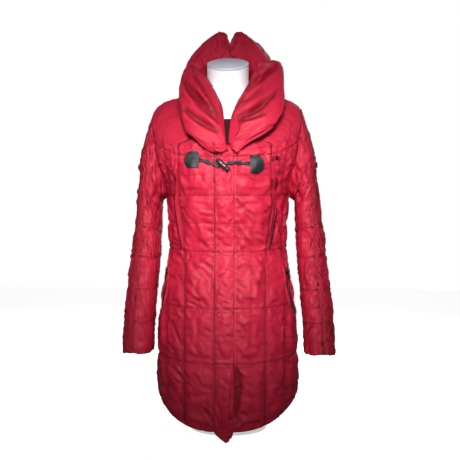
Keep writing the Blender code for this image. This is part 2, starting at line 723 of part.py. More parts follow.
def front_level(x, z):
    """The level at which the front of the torso is at height z, x from the middle."""
    low, high = 0.0, NECK_LEVEL - 0.5
    for _ in range(40):
        middle = (low + high) / 2
        if torso(front_turn(x, middle), middle)[2] < z:
            low = middle
        else:
            high = middle
    return (low + high) / 2


def front_place(x, z, lift=0.0):
    """A point on the front of the torso and its outward direction."""
    level = front_level(x, z)
    turn = front_turn(x, level)
    normal = outward(torso, turn, level)
    return torso(turn, level) + normal * lift, normal


def build_pocket(side, tree, parent):
    """Zip tape, slider with two ears, and the pull tab that turns between them."""
    sign = -1 if side == "right" else 1
    top, foot = POCKET_TOP, POCKET_FOOT
    line = []
    for share in steps(0.0, 1.0, 20):
        x = sign * (top[0] + (foot[0] - top[0]) * share)
        point, normal = front_place(x, top[1] + (foot[1] - top[1]) * share)
        line.append((point, normal))
    trim(f"pocket_zip_{side}", line, ZIP_HALF, ZIP_THICK, tree, "tape", parent, ZIP_GAP)

    share = SLIDER_AT
    x = sign * (top[0] + (foot[0] - top[0]) * share)
    point, normal = front_place(x, top[1] + (foot[1] - top[1]) * share)
    down = Vector((sign * (foot[0] - top[0]), 0.0, foot[1] - top[1]))
    out = Vector(normal)
    down = (down - out * down.dot(out)).normalized()
    across = down.cross(out).normalized()
    base = max(
        (
            laid_on(tree, Vector(point) + across * a + down * d, out, 0.0006)
            for a in (-SLIDER_WIDE / 2, 0.0, SLIDER_WIDE / 2)
            for d in (-SLIDER_LONG / 2, 0.0, SLIDER_LONG / 2)
        ),
        key=lambda p: p.dot(out),
    )
    lifted = Vector(point) + out * ((base - Vector(point)).dot(out) + ZIP_GAP + ZIP_THICK)
    frame = Matrix((across, down, out)).transposed().to_4x4()
    frame.translation = lifted

    # The slider: a channel whose two sides are the ears that the tab's eye turns between.
    inner, outer = TAB_WIDE / 2 + PIVOT_CLEAR, SLIDER_WIDE / 2
    top_of_ear = SLIDER_THICK + EAR_HIGH
    channel = (
        (-outer, 0.0),
        (outer, 0.0),
        (outer, top_of_ear),
        (inner, top_of_ear),
        (inner, SLIDER_THICK),
        (-inner, SLIDER_THICK),
        (-inner, top_of_ear),
        (-outer, top_of_ear),
    )
    rings = [[frame @ Vector((x, y, z)) for x, z in channel] for y in (-SLIDER_LONG / 2, SLIDER_LONG / 2)]
    loft(f"zip_slider_{side}", rings, "metal", parent)

    # The tab: a round eye at the pivot that runs out into a flat pull, which hangs down the zip.
    pivot_high = top_of_ear - EYE_RADIUS - 0.0003
    eye = [math.pi / 4 + math.radians(270) * k / 10 for k in range(11)]
    outline = [(EYE_RADIUS * math.cos(a), pivot_high + EYE_RADIUS * math.sin(a)) for a in eye]
    outline += [(TAB_LONG, pivot_high - TAB_THICK / 2), (TAB_LONG, pivot_high + TAB_THICK / 2)]
    rings = [[frame @ Vector((x, y, z)) for y, z in outline] for x in (-TAB_WIDE / 2, TAB_WIDE / 2)]
    loft(f"pull_tab_{side}", rings, "metal", parent)


def build_patches(tree, parent):
    """The two leather patches that hold the toggle's cords."""
    for side, sign in (("right", -1), ("left", 1)):
        out = Vector(front_place(sign * PATCH_X, PATCH_Z[side])[1])
        skin, lining = [], []
        for v in steps(-1.0, 1.0, 10):
            # A D: straight towards the middle of the coat, round on the other side.
            round_side = math.sqrt(max(1.0 - v * v, 0.0)) * 0.72 + 0.10
            low, high = -0.42, 0.58 * round_side
            row = []
            for u in steps(low, high, 4):
                x = sign * (PATCH_X + u * PATCH_LONG)
                z = PATCH_Z[side] + v * PATCH_HIGH / 2
                row.append(Vector(front_place(x, z)[0]))
            bed = [laid_on(tree, p, out, PATCH_GAP) for p in row]
            lining.append(bed)
            skin.append([p + out * PATCH_THICK for p in bed])
        wall(f"toggle_patch_{side}", skin, lining, "leather", parent)


def tube(name, points, radius, surface, parent, resolution=2):
    """A cord as a curve through its points."""
    line = bpy.data.curves.new(name, "CURVE")
    line.dimensions = "3D"
    line.bevel_depth = radius
    line.bevel_resolution = resolution
    line.use_fill_caps = True
    path = line.splines.new("POLY")
    path.points.add(len(points) - 1)
    for place, point in zip(path.points, points):
        place.co = (*point, 1.0)
    line.materials.append(material(surface))
    made = bpy.data.objects.new(name, line)
    made.parent = parent
    bpy.context.scene.collection.children["down_coat_on_form"].objects.link(made)
    return made


def build_toggle(tree, parent):
    """A cord from each patch to the toggle, laid over the flap, and the toggle itself."""
    x, z = TOGGLE_AT
    centre, normal = front_place(x, z)
    out = Vector(normal)
    bed = laid_on(tree, centre, out, 0.0)
    middle = bed + out * (TOGGLE_RADIUS + TOGGLE_LIFT)
    along = Matrix.Rotation(-TOGGLE_TILT, 3, out) @ Vector((1, 0, 0))
    rings = []
    for share in steps(-1.0, 1.0, 12):
        radius = TOGGLE_RADIUS * (1.0 - 0.42 * share * share) * min(1.0, 8.0 * (1.04 - abs(share))) ** 0.5
        spin = [2 * math.pi * k / 14 for k in range(14)]
        side_a = along.cross(out).normalized()
        rings.append(
            [
                middle + along * (share * TOGGLE_LONG / 2) + side_a * radius * math.cos(a) + out * radius * math.sin(a)
                for a in spin
            ]
        )
    loft("toggle", rings, "horn", parent)
    for side, sign in (("right", -1), ("left", 1)):
        start_x, stop_x = sign * (PATCH_X - 0.42 * PATCH_LONG - 0.0035), sign * CORD_END + x
        points = []
        for share in steps(0.0, 1.0, 16):
            at_x = start_x + (stop_x - start_x) * share
            at_z = PATCH_Z[side] + (z + 0.004 * sign - PATCH_Z[side]) * share + 0.002 * math.sin(math.pi * share)
            place, direction = front_place(at_x, at_z)
            around = [front_place(at_x + step, at_z)[0] for step in (-CORD_REACH, 0.0, CORD_REACH)]
            beds = [laid_on(tree, near, direction, CORD_RADIUS + CORD_GAP) for near in around]
            highest = max((bed - Vector(place)).dot(Vector(direction)) for bed in beds)
            points.append(Vector(place) + Vector(direction) * highest)
        tube(f"toggle_cord_{side}", points, CORD_RADIUS, "cord", parent)


def build_sleeve_pocket(tree, parent):
    """The patch pocket on the wearer's left sleeve and the plain tab on it."""
    surface, way_out = sleeve_surface("left")

    def patch(name, turn, span, levels, thick, on, colour, columns=5, rows=6):
        skin, lining = [], []
        for line in steps(levels[0], levels[1], rows):
            low = []
            high = []
            for share in steps(-0.5, 0.5, columns):
                at = turn + span * share
                normal = Vector(way_out(at, line))
                place = laid_on(on, surface(at, line), normal, LAY_GAP)
                low.append(place)
                high.append(place + normal * thick)
            lining.append(low)
            skin.append(high)
        return wall(name, skin, lining, colour, parent)

    pocket = patch(
        "sleeve_pocket",
        SLEEVE_POCKET_TURN,
        SLEEVE_POCKET_SPAN,
        (SLEEVE_POCKET_TOP, SLEEVE_POCKET_FOOT),
        SLEEVE_POCKET_THICK,
        tree,
        "shell",
    )
    patch(
        "sleeve_tab", SLEEVE_POCKET_TURN, TAG_SPAN, TAG_LEVELS, TAG_THICK, tree_of([pocket]), "leather", columns=2, rows=2
    )


# ---------------------------------------------------------------- the dress form


def form_ring(level):
    """A ring of the form inside the coat: close below the shoulder seams, well clear elsewhere."""
    ring = []
    for k in range(FORM_POINTS):
        turn = 2 * math.pi * k / FORM_POINTS
        on_top = min(max(level - 6.6, 0.0), 1.0) * abs(math.sin(turn)) ** 6
        clear = FORM_CLEAR + (FORM_SEAT - FORM_CLEAR) * on_top
        ring.append(torso_out(turn, level, -clear))
    return ring


def neck_ring(size, tilt):
    half_width, half_depth, height, y = size
    ring = []
    for k in range(FORM_POINTS):
        turn = 2 * math.pi * k / FORM_POINTS
        place = np.array((half_width * math.sin(turn), y - half_depth * math.cos(turn), height))
        place[2] += tilt * (place[1] - y)
        ring.append(place)
    return ring


def build_form(parent):
    """Torso and neck in one smooth body, the tilted cap, the post and the round plate with its collet."""
    rings = [form_ring(level) for level in steps(FORM_FOOT_LEVEL, NECK_LEVEL, 15)]
    rings[0] = [np.array((p[0], p[1], rings[0][0][2])) for p in rings[0]]
    shoulder = rings[-1]
    base = neck_ring(NECK_BASE, -0.15)
    rings.append([a + (b - a) * 0.55 for a, b in zip(shoulder, base)])
    rings.append(base)
    rings.append(neck_ring(NECK_MID, CAP_TILT / 2))
    top = neck_ring(NECK_TOP, CAP_TILT)
    rings.append(top)
    loft("form_torso", rings, "form_cloth", parent)

    lean = Vector((0.0, -CAP_TILT, 1.0)).normalized()
    middle = np.mean(top, axis=0)
    cap = []
    for lift, share in ((0.0004, 0.94), (0.0014, 1.0), (CAP_THICK - 0.0015, 1.0), (CAP_THICK, 0.95)):
        cap.append([Vector(middle + (p - middle) * share) + lean * lift for p in top])
    loft("form_cap", cap, "form_cap", parent)

    foot_z = float(rings[0][0][2])

    def turned(name, profile, surface):
        rings = [
            [(r * math.cos(turn), STAND_BACK + r * math.sin(turn), z) for turn in steps(0.0, 2 * math.pi, 32)[:-1]]
            for r, z in profile
        ]
        return loft(name, rings, surface, parent)

    turned(
        "stand_plate",
        (
            (PLATE_RADIUS, 0.0),
            (PLATE_RADIUS, PLATE_THICK - PLATE_EDGE),
            (PLATE_RADIUS - PLATE_EDGE, PLATE_THICK),
        ),
        "stand_white",
    )
    bottom = PLATE_THICK + 0.0003
    turned(
        "stand_post",
        (
            (COLLET_RADIUS, bottom),
            (COLLET_RADIUS, bottom + 0.010),
            (POST_RADIUS + 0.004, bottom + COLLET_HIGH),
            (POST_RADIUS, bottom + COLLET_HIGH + 0.004),
            (POST_RADIUS, foot_z - 0.0003),
        ),
        "stand_white",
    )


# ---------------------------------------------------------------- the whole coat


def main():
    for made in list(bpy.data.objects):
        bpy.data.objects.remove(made, do_unlink=True)
    collection = bpy.data.collections.new("down_coat_on_form")
    bpy.context.scene.collection.children.link(collection)
    coat = bpy.data.objects.new("coat", None)
    collection.objects.link(coat)
    form = bpy.data.objects.new("dress_form", None)
    collection.objects.link(form)

    body = build_torso(coat)
    flap = build_flap(coat)
    panels = tree_of(body.values())
    sleeves = {}
    for side in ("right", "left"):
        sleeves.update(build_sleeve(side, panels, coat))
    shoulders = tree_of(list(body.values()) + [flap] + list(sleeves.values()))
    for side in ("right", "left"):
        build_lapel(side, shoulders, coat)
        build_hood(side, shoulders, coat)
    front = tree_of([made for name, made in body.items() if name.startswith("front")])
    for side in ("right", "left"):
        build_strap(side, front, coat)
        build_pocket(side, front, coat)
    build_patches(front, coat)
    build_toggle(tree_of([made for name, made in body.items() if name.startswith("front")] + [flap]), coat)
    build_sleeve_pocket(tree_of([made for name, made in sleeves.items() if name.endswith("left")]), coat)
    build_form(form)


main()
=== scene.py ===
"""The looks of a quilted down coat buttoned up on a limbless dress form.

Metres, +Z up. The coat's front faces -Y and +X is the wearer's left. Every padded panel is cut as a grid on
the same torso and sleeve surfaces as the solids, stitched down along its seams and quilting, and inflated by
a cloth simulation, so that its puffs and gathers come from the cloth itself.
"""

import logging
import math
from collections.abc import Callable, Sequence
from dataclasses import dataclass, field
from enum import Enum

import bmesh
import bpy
import numpy as np
from mathutils import Matrix, Vector
from mathutils.bvhtree import BVHTree


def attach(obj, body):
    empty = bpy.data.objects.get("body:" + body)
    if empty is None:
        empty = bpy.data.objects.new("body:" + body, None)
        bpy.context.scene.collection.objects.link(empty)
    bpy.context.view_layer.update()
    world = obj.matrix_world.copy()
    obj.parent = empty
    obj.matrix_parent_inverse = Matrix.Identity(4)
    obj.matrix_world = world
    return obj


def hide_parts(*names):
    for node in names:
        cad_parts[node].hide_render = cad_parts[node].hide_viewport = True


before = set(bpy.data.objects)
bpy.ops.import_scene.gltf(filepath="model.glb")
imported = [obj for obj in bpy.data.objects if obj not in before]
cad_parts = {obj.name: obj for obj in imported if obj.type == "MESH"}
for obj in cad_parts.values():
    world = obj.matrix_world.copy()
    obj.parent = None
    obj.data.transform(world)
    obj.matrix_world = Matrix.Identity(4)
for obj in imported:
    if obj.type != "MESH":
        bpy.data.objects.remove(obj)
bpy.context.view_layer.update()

logging.basicConfig(level=logging.INFO, format="%(message)s")
log = logging.getLogger("down_coat")

BODY = "coat_on_form"
CELL = 0.0058  # the cloth's grid before it is made finer
TENT = 0.02  # how far from a stitched line the finish still knows of it
MERGE = 1e-6  # points closer than this are one
Array = np.ndarray
Triple = tuple[float, float, float]  # a place, a size or a colour
Edge = Callable[[Array], Array]  # a seam's turn by level or line
Surface = Callable[[Array, Array], Array]


class Side(Enum):
    """The wearer's sides."""

    RIGHT = "right"
    LEFT = "left"

    @property
    def sign(self) -> int:
        """-1 on the wearer's right, 1 on the left."""
        return -1 if self is Side.RIGHT else 1


# ---------------------------------------------------------------- small tools


def spline(rows: Sequence[Sequence[float]], places: Array) -> Array:
    """Reads smooth curves through evenly numbered rows of numbers, straight beyond the ends.

    Args:
        rows: The numbers of each row.
        places: Where to read, counted in rows.

    Returns:
        The numbers at each place.
    """
    table = np.asarray(rows, float)
    last = len(table) - 1
    place = np.asarray(places, float)[..., None]
    index = np.clip(np.floor(place[..., 0]).astype(int), 0, last - 1)
    f = place - index[..., None]
    start, end = table[index], table[index + 1]
    slope_in = (end - table[np.maximum(index - 1, 0)]) / 2
    slope_out = (table[np.minimum(index + 2, last)] - start) / 2
    inner = start * (2 * f**3 - 3 * f**2 + 1) + slope_in * (f**3 - 2 * f**2 + f)
    inner = inner + end * (3 * f**2 - 2 * f**3) + slope_out * (f**3 - f**2)
    low = table[0] + (table[1] - table[0]) * place
    high = table[last] + (table[last] - table[last - 1]) * (place - last)
    return np.where(place <= 0, low, np.where(place >= last, high, inner))


def swell(share: Array) -> Array:
    """0 on a stitched line, 1 in the middle of a bay."""
    return np.maximum(np.sin(np.pi * np.clip(share, 0.0, 1.0)), 0.0) ** 0.7


def unit(vectors: Array) -> Array:
    """The same directions, one long."""
    return vectors / np.maximum(np.linalg.norm(vectors, axis=-1, keepdims=True), 1e-12)


def way_out(surface: Surface, u: Array, v: Array, step: float = 1e-3) -> Array:
    """Unit normals of a surface of two parameters."""
    across = surface(u + step, v) - surface(u - step, v)
    return unit(np.cross(across, surface(u, v + step) - surface(u, v - step)))


def closed_curve(corners: Array, count: int) -> Array:
    """Points spaced along smooth closed curves through a few corners.

    Args:
        corners: Corners as (..., corner, 3).
        count: How many points each curve gets.

    Returns:
        The points as (..., count, 3).
    """
    size = corners.shape[-2]
    place = size * np.arange(count) / count
    k, f = np.floor(place).astype(int), (place - np.floor(place))[:, None]
    before, start, end, after = (corners[..., (k + d) % size, :] for d in (-1, 0, 1, 2))
    return 0.5 * (
        2 * start
        + (end - before) * f
        + (2 * before - 5 * start + 4 * end - after) * f**2
        + (3 * start - 3 * end + after - before) * f**3
    )


def smooth_noise(where: Array, spacing: float, seed: int) -> Array:
    """Uneven waves along a line.

    Args:
        where: Places along it, in metres.
        spacing: Half of a usual wave's length.
        seed: Picks the waves.

    Returns:
        Heights from -1 to 1.
    """
    table = np.random.default_rng(seed).uniform(-1.0, 1.0, 1024)
    place = np.asarray(where) / spacing
    low = np.floor(place)
    share = place - low
    share = share * share * (3 - 2 * share)
    index = low.astype(int)
    return table[index % 1024] * (1 - share) + table[(index + 1) % 1024] * share


def run_along(path: Array) -> Array:
    """How far along a path each of its points lies."""
    return np.concatenate(([0.0], np.cumsum(np.linalg.norm(np.diff(path, axis=0), axis=1))))


def relaxed(path: Array, times: int) -> Array:
    """Eases the bends of a path and leaves its ends where they are.

    Args:
        path: Its points.
        times: How often it is eased.

    Returns:
        The eased path.
    """
    eased = path.copy()
    for _ in range(times):
        eased[1:-1] = (eased[:-2] + 2 * eased[1:-1] + eased[2:]) / 4
    return eased


def local_mean(values: Array, reach: int) -> Array:
    """Evens out a grid of numbers.

    Args:
        values: The grid.
        reach: How many cells away a number still counts.

    Returns:
        The mean round each place.
    """
    rows, columns = values.shape
    wide = np.pad(values, reach, mode="edge")
    steps = range(2 * reach + 1)
    return np.mean([wide[a : a + rows, b : b + columns] for a in steps for b in steps], axis=0)


def read_vectors(mesh: bpy.types.Mesh, key: str) -> Array:
    """Reads the points of a mesh.

    Args:
        mesh: The mesh.
        key: "co" for their places or "normal" for their ways out.

    Returns:
        One row for each point.
    """
    values = np.zeros(len(mesh.vertices) * 3)
    mesh.vertices.foreach_get(key, values)
    return values.reshape(-1, 3)


def read_numbers(mesh: bpy.types.Mesh, name: str) -> Array:
    """Reads a number that is kept on every point of a mesh.

    Args:
        mesh: The mesh.
        name: The number's name.

    Returns:
        The numbers.
    """
    values = np.zeros(len(mesh.vertices))
    mesh.attributes[name].data.foreach_get("value", values)
    return values


def tree_of(meshes: Sequence[bpy.types.Mesh]) -> BVHTree:
    """Joins meshes for searching.

    Args:
        meshes: The meshes.

    Returns:
        One search tree over all their faces.
    """
    bm = bmesh.new()
    for mesh in meshes:
        bm.from_mesh(mesh)
    tree = BVHTree.FromBMesh(bm)
    bm.free()
    return tree


def node_tree_of(names: Sequence[str]) -> BVHTree:
    """One search tree over several solids of the frame."""
    return tree_of([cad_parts[name].data for name in names])


def piece_tree(pieces: Sequence[bpy.types.Object]) -> BVHTree:
    """One search tree over several finished pieces."""
    return tree_of([piece.data for piece in pieces])


def grid_place(vert: bmesh.types.BMVert, rows: int, columns: int) -> tuple[int, int]:
    """The row and column of a point in a new grid, one wide, of so many points."""
    return round((vert.co.y + 0.5) * (rows - 1)), round((vert.co.x + 0.5) * (columns - 1))


def lofted(rings: Array) -> bmesh.types.BMesh:
    """Makes a closed body through rings, from a grid that is rolled up and capped.

    Args:
        rings: The rings as (ring, point, 3).

    Returns:
        The body, with its faces outwards.
    """
    rows, columns = rings.shape[:2]
    bm = bmesh.new()
    bmesh.ops.create_grid(bm, x_segments=columns, y_segments=rows - 1, size=0.5)
    for vert in bm.verts:
        i, j = grid_place(vert, rows, columns + 1)
        vert.co = rings[i, j % columns]
    bmesh.ops.remove_doubles(bm, verts=bm.verts, dist=MERGE)
    bmesh.ops.holes_fill(bm, edges=[e for e in bm.edges if e.is_boundary], sides=0)
    bmesh.ops.recalc_face_normals(bm, faces=bm.faces)
    return bm


def rings_along(path: Array, radii: Array, sides: int) -> Array:
    """Round rings that follow a path.

    Args:
        path: Its points.
        radii: The radius at each point.
        sides: Points round a ring.

    Returns:
        The rings as (points, sides, 3).
    """
    ahead = unit(np.gradient(path, axis=0))
    first = unit(np.cross(ahead, np.array((0.0, 1.0, 0.001))))
    second = np.cross(ahead, first)
    turn = np.linspace(0.0, 2 * math.pi, sides, endpoint=False)
    ring = first[:, None] * np.cos(turn)[None, :, None] + second[:, None] * np.sin(turn)[None, :, None]
    return path[:, None] + ring * np.asarray(radii)[:, None, None]


def bar(bm: bmesh.types.BMesh, start: Vector, end: Vector, radius: float, sides: int = 6) -> None:
    """Adds a short round bar, such as one stitch.

    Args:
        bm: The mesh that it joins.
        start: Its first end.
        end: Its last end.
        radius: Half its thickness.
        sides: How many flat sides it has.
    """
    along = end - start
    turn = along.to_track_quat("Z", "Y").to_matrix().to_4x4()
    place = Matrix.Translation((start + end) / 2) @ turn
    bmesh.ops.create_cone(
        bm, cap_ends=True, segments=sides, radius1=radius, radius2=radius, depth=along.length, matrix=place
    )


def laid_on(tree: BVHTree, point: Vector, out: Vector, gap: float, reach: float = 0.05) -> Vector:
    """The place on the outermost cloth under a point, looking inwards, lifted by a gap."""
    hit, _, _, _ = tree.ray_cast(point + out * reach, -out, 2 * reach)
    return (hit if hit else point) + out * gap


def height_on(tree: BVHTree, point: Vector, out: Vector) -> float:
    """How far above a point the outermost cloth lies."""
    return (laid_on(tree, point, out, 0.0) - point).dot(out)


def pushed_out(tree: BVHTree, points: Array, gap: float, sinking: float = math.inf) -> Array:
    """Moves the points of a grid clear of solids.

    Args:
        tree: The solids.
        points: The points as (row, column, 3).
        gap: What is left between.
        sinking: How far from the surface a point may lie and still be moved.

    Returns:
        The points, moved where they had to be.
    """
    clear = points.copy()
    for place in np.ndindex(points.shape[:2]):
        point = Vector(points[place])
        hit, normal, _, _ = tree.find_nearest(point)
        if (point - hit).dot(normal) < gap and (point - hit).length < sinking:
            clear[place] = hit + normal * gap
    return clear


def finish_piece(
    name: str, bm: bmesh.types.BMesh, finish: "Finish", *nodes: str, smooth: bool = True
) -> bpy.types.Object:
    """Makes a bmesh a piece that rides on the coat and stands for solids of the frame.

    Args:
        name: The piece's name.
        bm: Its mesh, which is freed.
        finish: Its material.
        nodes: The solids it stands for.
        smooth: Whether it is shaded smooth.

    Returns:
        The new object.
    """
    mesh = bpy.data.meshes.new(name)
    bm.to_mesh(mesh)
    bm.free()
    if smooth:
        mesh.shade_smooth()
    mesh.materials.append(finish.material())
    piece = bpy.data.objects.new(name, mesh)
    bpy.context.scene.collection.objects.link(piece)
    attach(piece, BODY)
    if nodes:
        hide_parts(*nodes)
    log.info("%s: %d faces", name, len(mesh.polygons))
    return piece


# ---------------------------------------------------------------- finishes


class Wire:
    """A node's output, with the operators that shader maths is written in."""

    def __init__(self, shader: "Shader", socket: bpy.types.NodeSocket) -> None:
        """Keeps the socket and the shader that it belongs to."""
        self.shader, self.socket = shader, socket

    def _maths(self, operation: str, first: "Wire | float", second: "Wire | float") -> "Wire":
        """A Math node of two values."""
        return self.shader.maths(operation, first, second)

    def __add__(self, other: "Wire | float") -> "Wire":
        """Sum."""
        return self._maths("ADD", self, other)

    def __sub__(self, other: "Wire | float") -> "Wire":
        """Difference."""
        return self._maths("SUBTRACT", self, other)

    def __rsub__(self, other: float) -> "Wire":
        """Difference from a number."""
        return self._maths("SUBTRACT", other, self)

    def __mul__(self, other: "Wire | float") -> "Wire":
        """Product."""
        return self._maths("MULTIPLY", self, other)

    __radd__, __rmul__ = __add__, __mul__


class Shader:
    """A material's node tree with its Principled shader."""

    def __init__(self, name: str) -> None:
        """Starts a material with an empty tree.

        Args:
            name: The material's name.
        """
        self.made = bpy.data.materials.new(name)
        self.made.use_nodes = True
        self.tree = self.made.node_tree
        self.surface = self.tree.nodes["Principled BSDF"]

    def node(
        self, kind: str, settings: dict[str, object], inputs: dict[int | str, object], out: int | str = 0
    ) -> Wire:
        """Adds a node.

        Args:
            kind: Its type.
            settings: What is set on the node itself.
            inputs: Values or wires of its sockets.
            out: The output that is returned.

        Returns:
            The wire from that output.
        """
        node = self.tree.nodes.new(kind)
        for key, value in settings.items():
            setattr(node, key, value)
        for key, value in inputs.items():
            self.feed(node.inputs[key], value)
        return Wire(self, node.outputs[out])

    def maths(self, operation: str, first: Wire | float, second: Wire | float | None = None) -> Wire:
        """A Math node of one value or two."""
        inputs = {0: first} if second is None else {0: first, 1: second}
        return self.node("ShaderNodeMath", {"operation": operation}, inputs)

    def feed(self, socket: bpy.types.NodeSocket, value: object) -> None:
        """Sets a socket to a value, or links a wire to it.

        Args:
            socket: The socket.
            value: A wire, a number, a vector or a colour.
        """
        if isinstance(value, Wire):
            self.tree.links.new(value.socket, socket)
        elif isinstance(value, tuple) and len(value) == 3 and socket.type == "RGBA":
            socket.default_value = (*value, 1.0)
        else:
            socket.default_value = value

    def place(self) -> Wire:
        """Object coordinates."""
        return self.node("ShaderNodeTexCoord", {}, {}, "Object")

    def cut(self, scale: Triple = (1.0, 1.0, 1.0)) -> Wire:
        """The piece's own cutting plan, in metres, scaled."""
        where = self.node("ShaderNodeUVMap", {"uv_map": "cut"}, {})
        return self.node("ShaderNodeMapping", {}, {"Vector": where, "Scale": scale})

    def noise(self, where: Wire, scale: float, detail: float = 3.0, distortion: float = 0.0) -> Wire:
        """A noise value."""
        inputs = {"Vector": where, "Scale": scale, "Detail": detail, "Distortion": distortion}
        return self.node("ShaderNodeTexNoise", {}, inputs)

    def attribute(self, name: str) -> Wire:
        """A number kept on the mesh."""
        return self.node("ShaderNodeAttribute", {"attribute_name": name}, {}, "Fac")

    def mix(self, share: Wire | float, first: object, second: object) -> Wire:
        """A colour between two."""
        return self.node("ShaderNodeMix", {"data_type": "RGBA"}, {0: share, 6: first, 7: second}, 2)

    def bump(self, height: Wire, strength: float, distance: float, below: Wire | None = None) -> Wire:
        """Adds a Bump node.

        Args:
            height: Its height.
            strength: How much of it shows.
            distance: What a height of 1 stands for, in metres.
            below: The bump that it lies on.

        Returns:
            The bent normal.
        """
        inputs: dict[int | str, object] = {"Height": height, "Strength": strength, "Distance": distance}
        if below is not None:
            inputs["Normal"] = below
        return self.node("ShaderNodeBump", {}, inputs)

    def set(self, **values: object) -> None:
        """Sets or links sockets of the Principled shader, named with underscores for spaces."""
        for key, value in values.items():
            self.feed(self.surface.inputs[key.replace("_", " ")], value)


@dataclass(frozen=True)
class Finish:
    """What every finish has: its material's name and the record's slot."""

    name: str
    slot: str

    def dress(self, shader: Shader) -> None:
        """Builds the nodes."""
        raise NotImplementedError

    def material(self) -> bpy.types.Material:
        """Makes the material, once.

        Returns:
            The material.
        """
        found = bpy.data.materials.get(self.name)
        if found:
            return found
        shader = Shader(self.name)
        self.dress(shader)
        return shader.made


@dataclass(frozen=True)
class SatinShell(Finish):
    """Down-proof nylon: a tight satin weave, puckered, with painted shade along its stitched lines."""

    name: str = "crimson_satin_nylon"
    slot: str = "shell"
    colour: Triple = (0.500, 0.0150, 0.0480)
    shade: Triple = (0.330, 0.0062, 0.0200)
    # painted shade: the dark colour that stitched grooves, panel edges and folds are mixed towards
    crease: Triple = (0.130, 0.0015, 0.0050)
    roughness: float = 0.56
    specular: float = 0.22
    stitch_long: float = 0.0034
    stitch_share: float = 0.7  # of its length, what isn't the gap to the next
    stitch_half: float = 0.00030
    crumples: float = 30.0  # to a metre
    fine_crumples: float = 120.0
    weave: float = 420.0
    ruffle: tuple[float, float] = (150.0, 22.0)  # puckers to a metre, along the line and away from it
    row_reach: float = 0.0075
    column_reach: float = 0.0065

    @staticmethod
    def near(shader: Shader, away: Wire, reach: float) -> Wire:
        """1 at a line, fading out over a reach."""
        return shader.maths("EXPONENT", away * (-1.0 / reach))

    def thread(self, shader: Shader, away: Wire, along: Wire) -> Wire:
        """Draws the threads of a stitched line.

        Args:
            shader: The material's nodes.
            away: The distance from the line.
            along: The place along it.

        Returns:
            1 on the threads.
        """
        on_line = shader.maths("LESS_THAN", away, self.stitch_half)
        step = shader.maths("FRACT", along * (1.0 / self.stitch_long))
        return on_line * shader.maths("LESS_THAN", step, self.stitch_share)

    def dress(self, shader: Shader) -> None:
        """Builds weave, crumple, puckers off the stitched lines, threads, and painted shade in the stitched
        grooves, along panel edges and in the folds.

        Args:
            shader: The material's nodes.
        """
        cut = shader.cut()
        across = shader.node("ShaderNodeSeparateXYZ", {}, {"Vector": cut}, "X")
        along = shader.node("ShaderNodeSeparateXYZ", {}, {"Vector": cut}, "Y")
        row = TENT - shader.attribute("row_tent")
        column = TENT - shader.attribute("column_tent")
        edge = TENT - shader.attribute("edge_tent")
        crumple = shader.noise(cut, self.crumples, 4.0, 1.1)
        fine = shader.noise(cut, self.fine_crumples, 3.0, 0.8)
        broad = shader.noise(shader.place(), 6.0, 2.0)
        fast, slow = self.ruffle
        off_rows = shader.noise(shader.cut((fast, slow, 1.0)), 1.0, 2.0, 0.5)
        off_rows = off_rows * self.near(shader, row, self.row_reach)
        off_columns = shader.noise(shader.cut((slow, fast, 1.0)), 1.0, 2.0, 0.5)
        off_columns = off_columns * self.near(shader, column, self.column_reach)
        threads = self.thread(shader, row, across) + self.thread(shader, column, along)
        # painted shade: darker along stitched rows and columns, at panel edges and in the folds' valleys
        deep = self.near(shader, row, 0.0011) * 0.60 + self.near(shader, column, 0.0006) * 0.35
        deep = deep + self.near(shader, edge, 0.0008) * 0.75 + shader.attribute("fold") * 0.72
        deep = shader.maths("MINIMUM", deep, 0.9)
        tone = shader.mix(broad * 0.45 + crumple * 0.35, self.colour, self.shade)
        shader.set(
            Base_Color=shader.mix(deep, tone, self.crease),
            Roughness=self.roughness + crumple * 0.12 - 0.06,
            Specular_IOR_Level=self.specular,
        )
        weave = shader.node("ShaderNodeTexWave", {"wave_type": "BANDS"}, {"Vector": cut, "Scale": self.weave})
        below = shader.bump(crumple, 0.50, 0.0035)
        below = shader.bump(off_rows + off_columns, 0.80, 0.0032, below)
        below = shader.bump(fine, 0.30, 0.0010, below)
        below = shader.bump(threads, 0.50, 0.0004, below)
        shader.set(Normal=shader.bump(weave, 0.05, 0.0002, below))


@dataclass(frozen=True)
class PlainFinish(Finish):
    """A finish of one colour with a grain: leather, horn, metal, jersey, tape or coating."""

    name: str = "plain"
    slot: str = "leather"
    colour: Triple = (0.5, 0.5, 0.5)
    worn: Triple = (0.5, 0.5, 0.5)
    roughness: float = 0.5
    metallic: float = 0.0
    grain: float = 400.0
    grain_depth: float = 0.0003
    sheen: float = 0.0
    coat: float = 0.0
    specular: float = 0.5
    # painted glow: how brightly the finish glows of itself, though it is no lamp
    painted_glow: float = 0.0

    def dress(self, shader: Shader) -> None:
        """Builds grain, a slow change of colour and, where one is asked for, a painted glow.

        Args:
            shader: The material's nodes.
        """
        where = shader.place()
        grain = shader.noise(where, self.grain, 4.0, 0.4)
        broad = shader.noise(where, self.grain * 0.06, 2.0)
        shader.set(
            Base_Color=shader.mix(broad, self.colour, self.worn),
            Roughness=self.roughness + grain * 0.16 - 0.08,
            Metallic=self.metallic,
            Sheen_Weight=self.sheen,
            Coat_Weight=self.coat,
            Specular_IOR_Level=self.specular,
            # painted glow: white emission at the finish's glow strength
            Emission_Color=(1.0, 1.0, 1.0),
            Emission_Strength=self.painted_glow,
            Normal=shader.bump(grain, 0.35, self.grain_depth),
        )


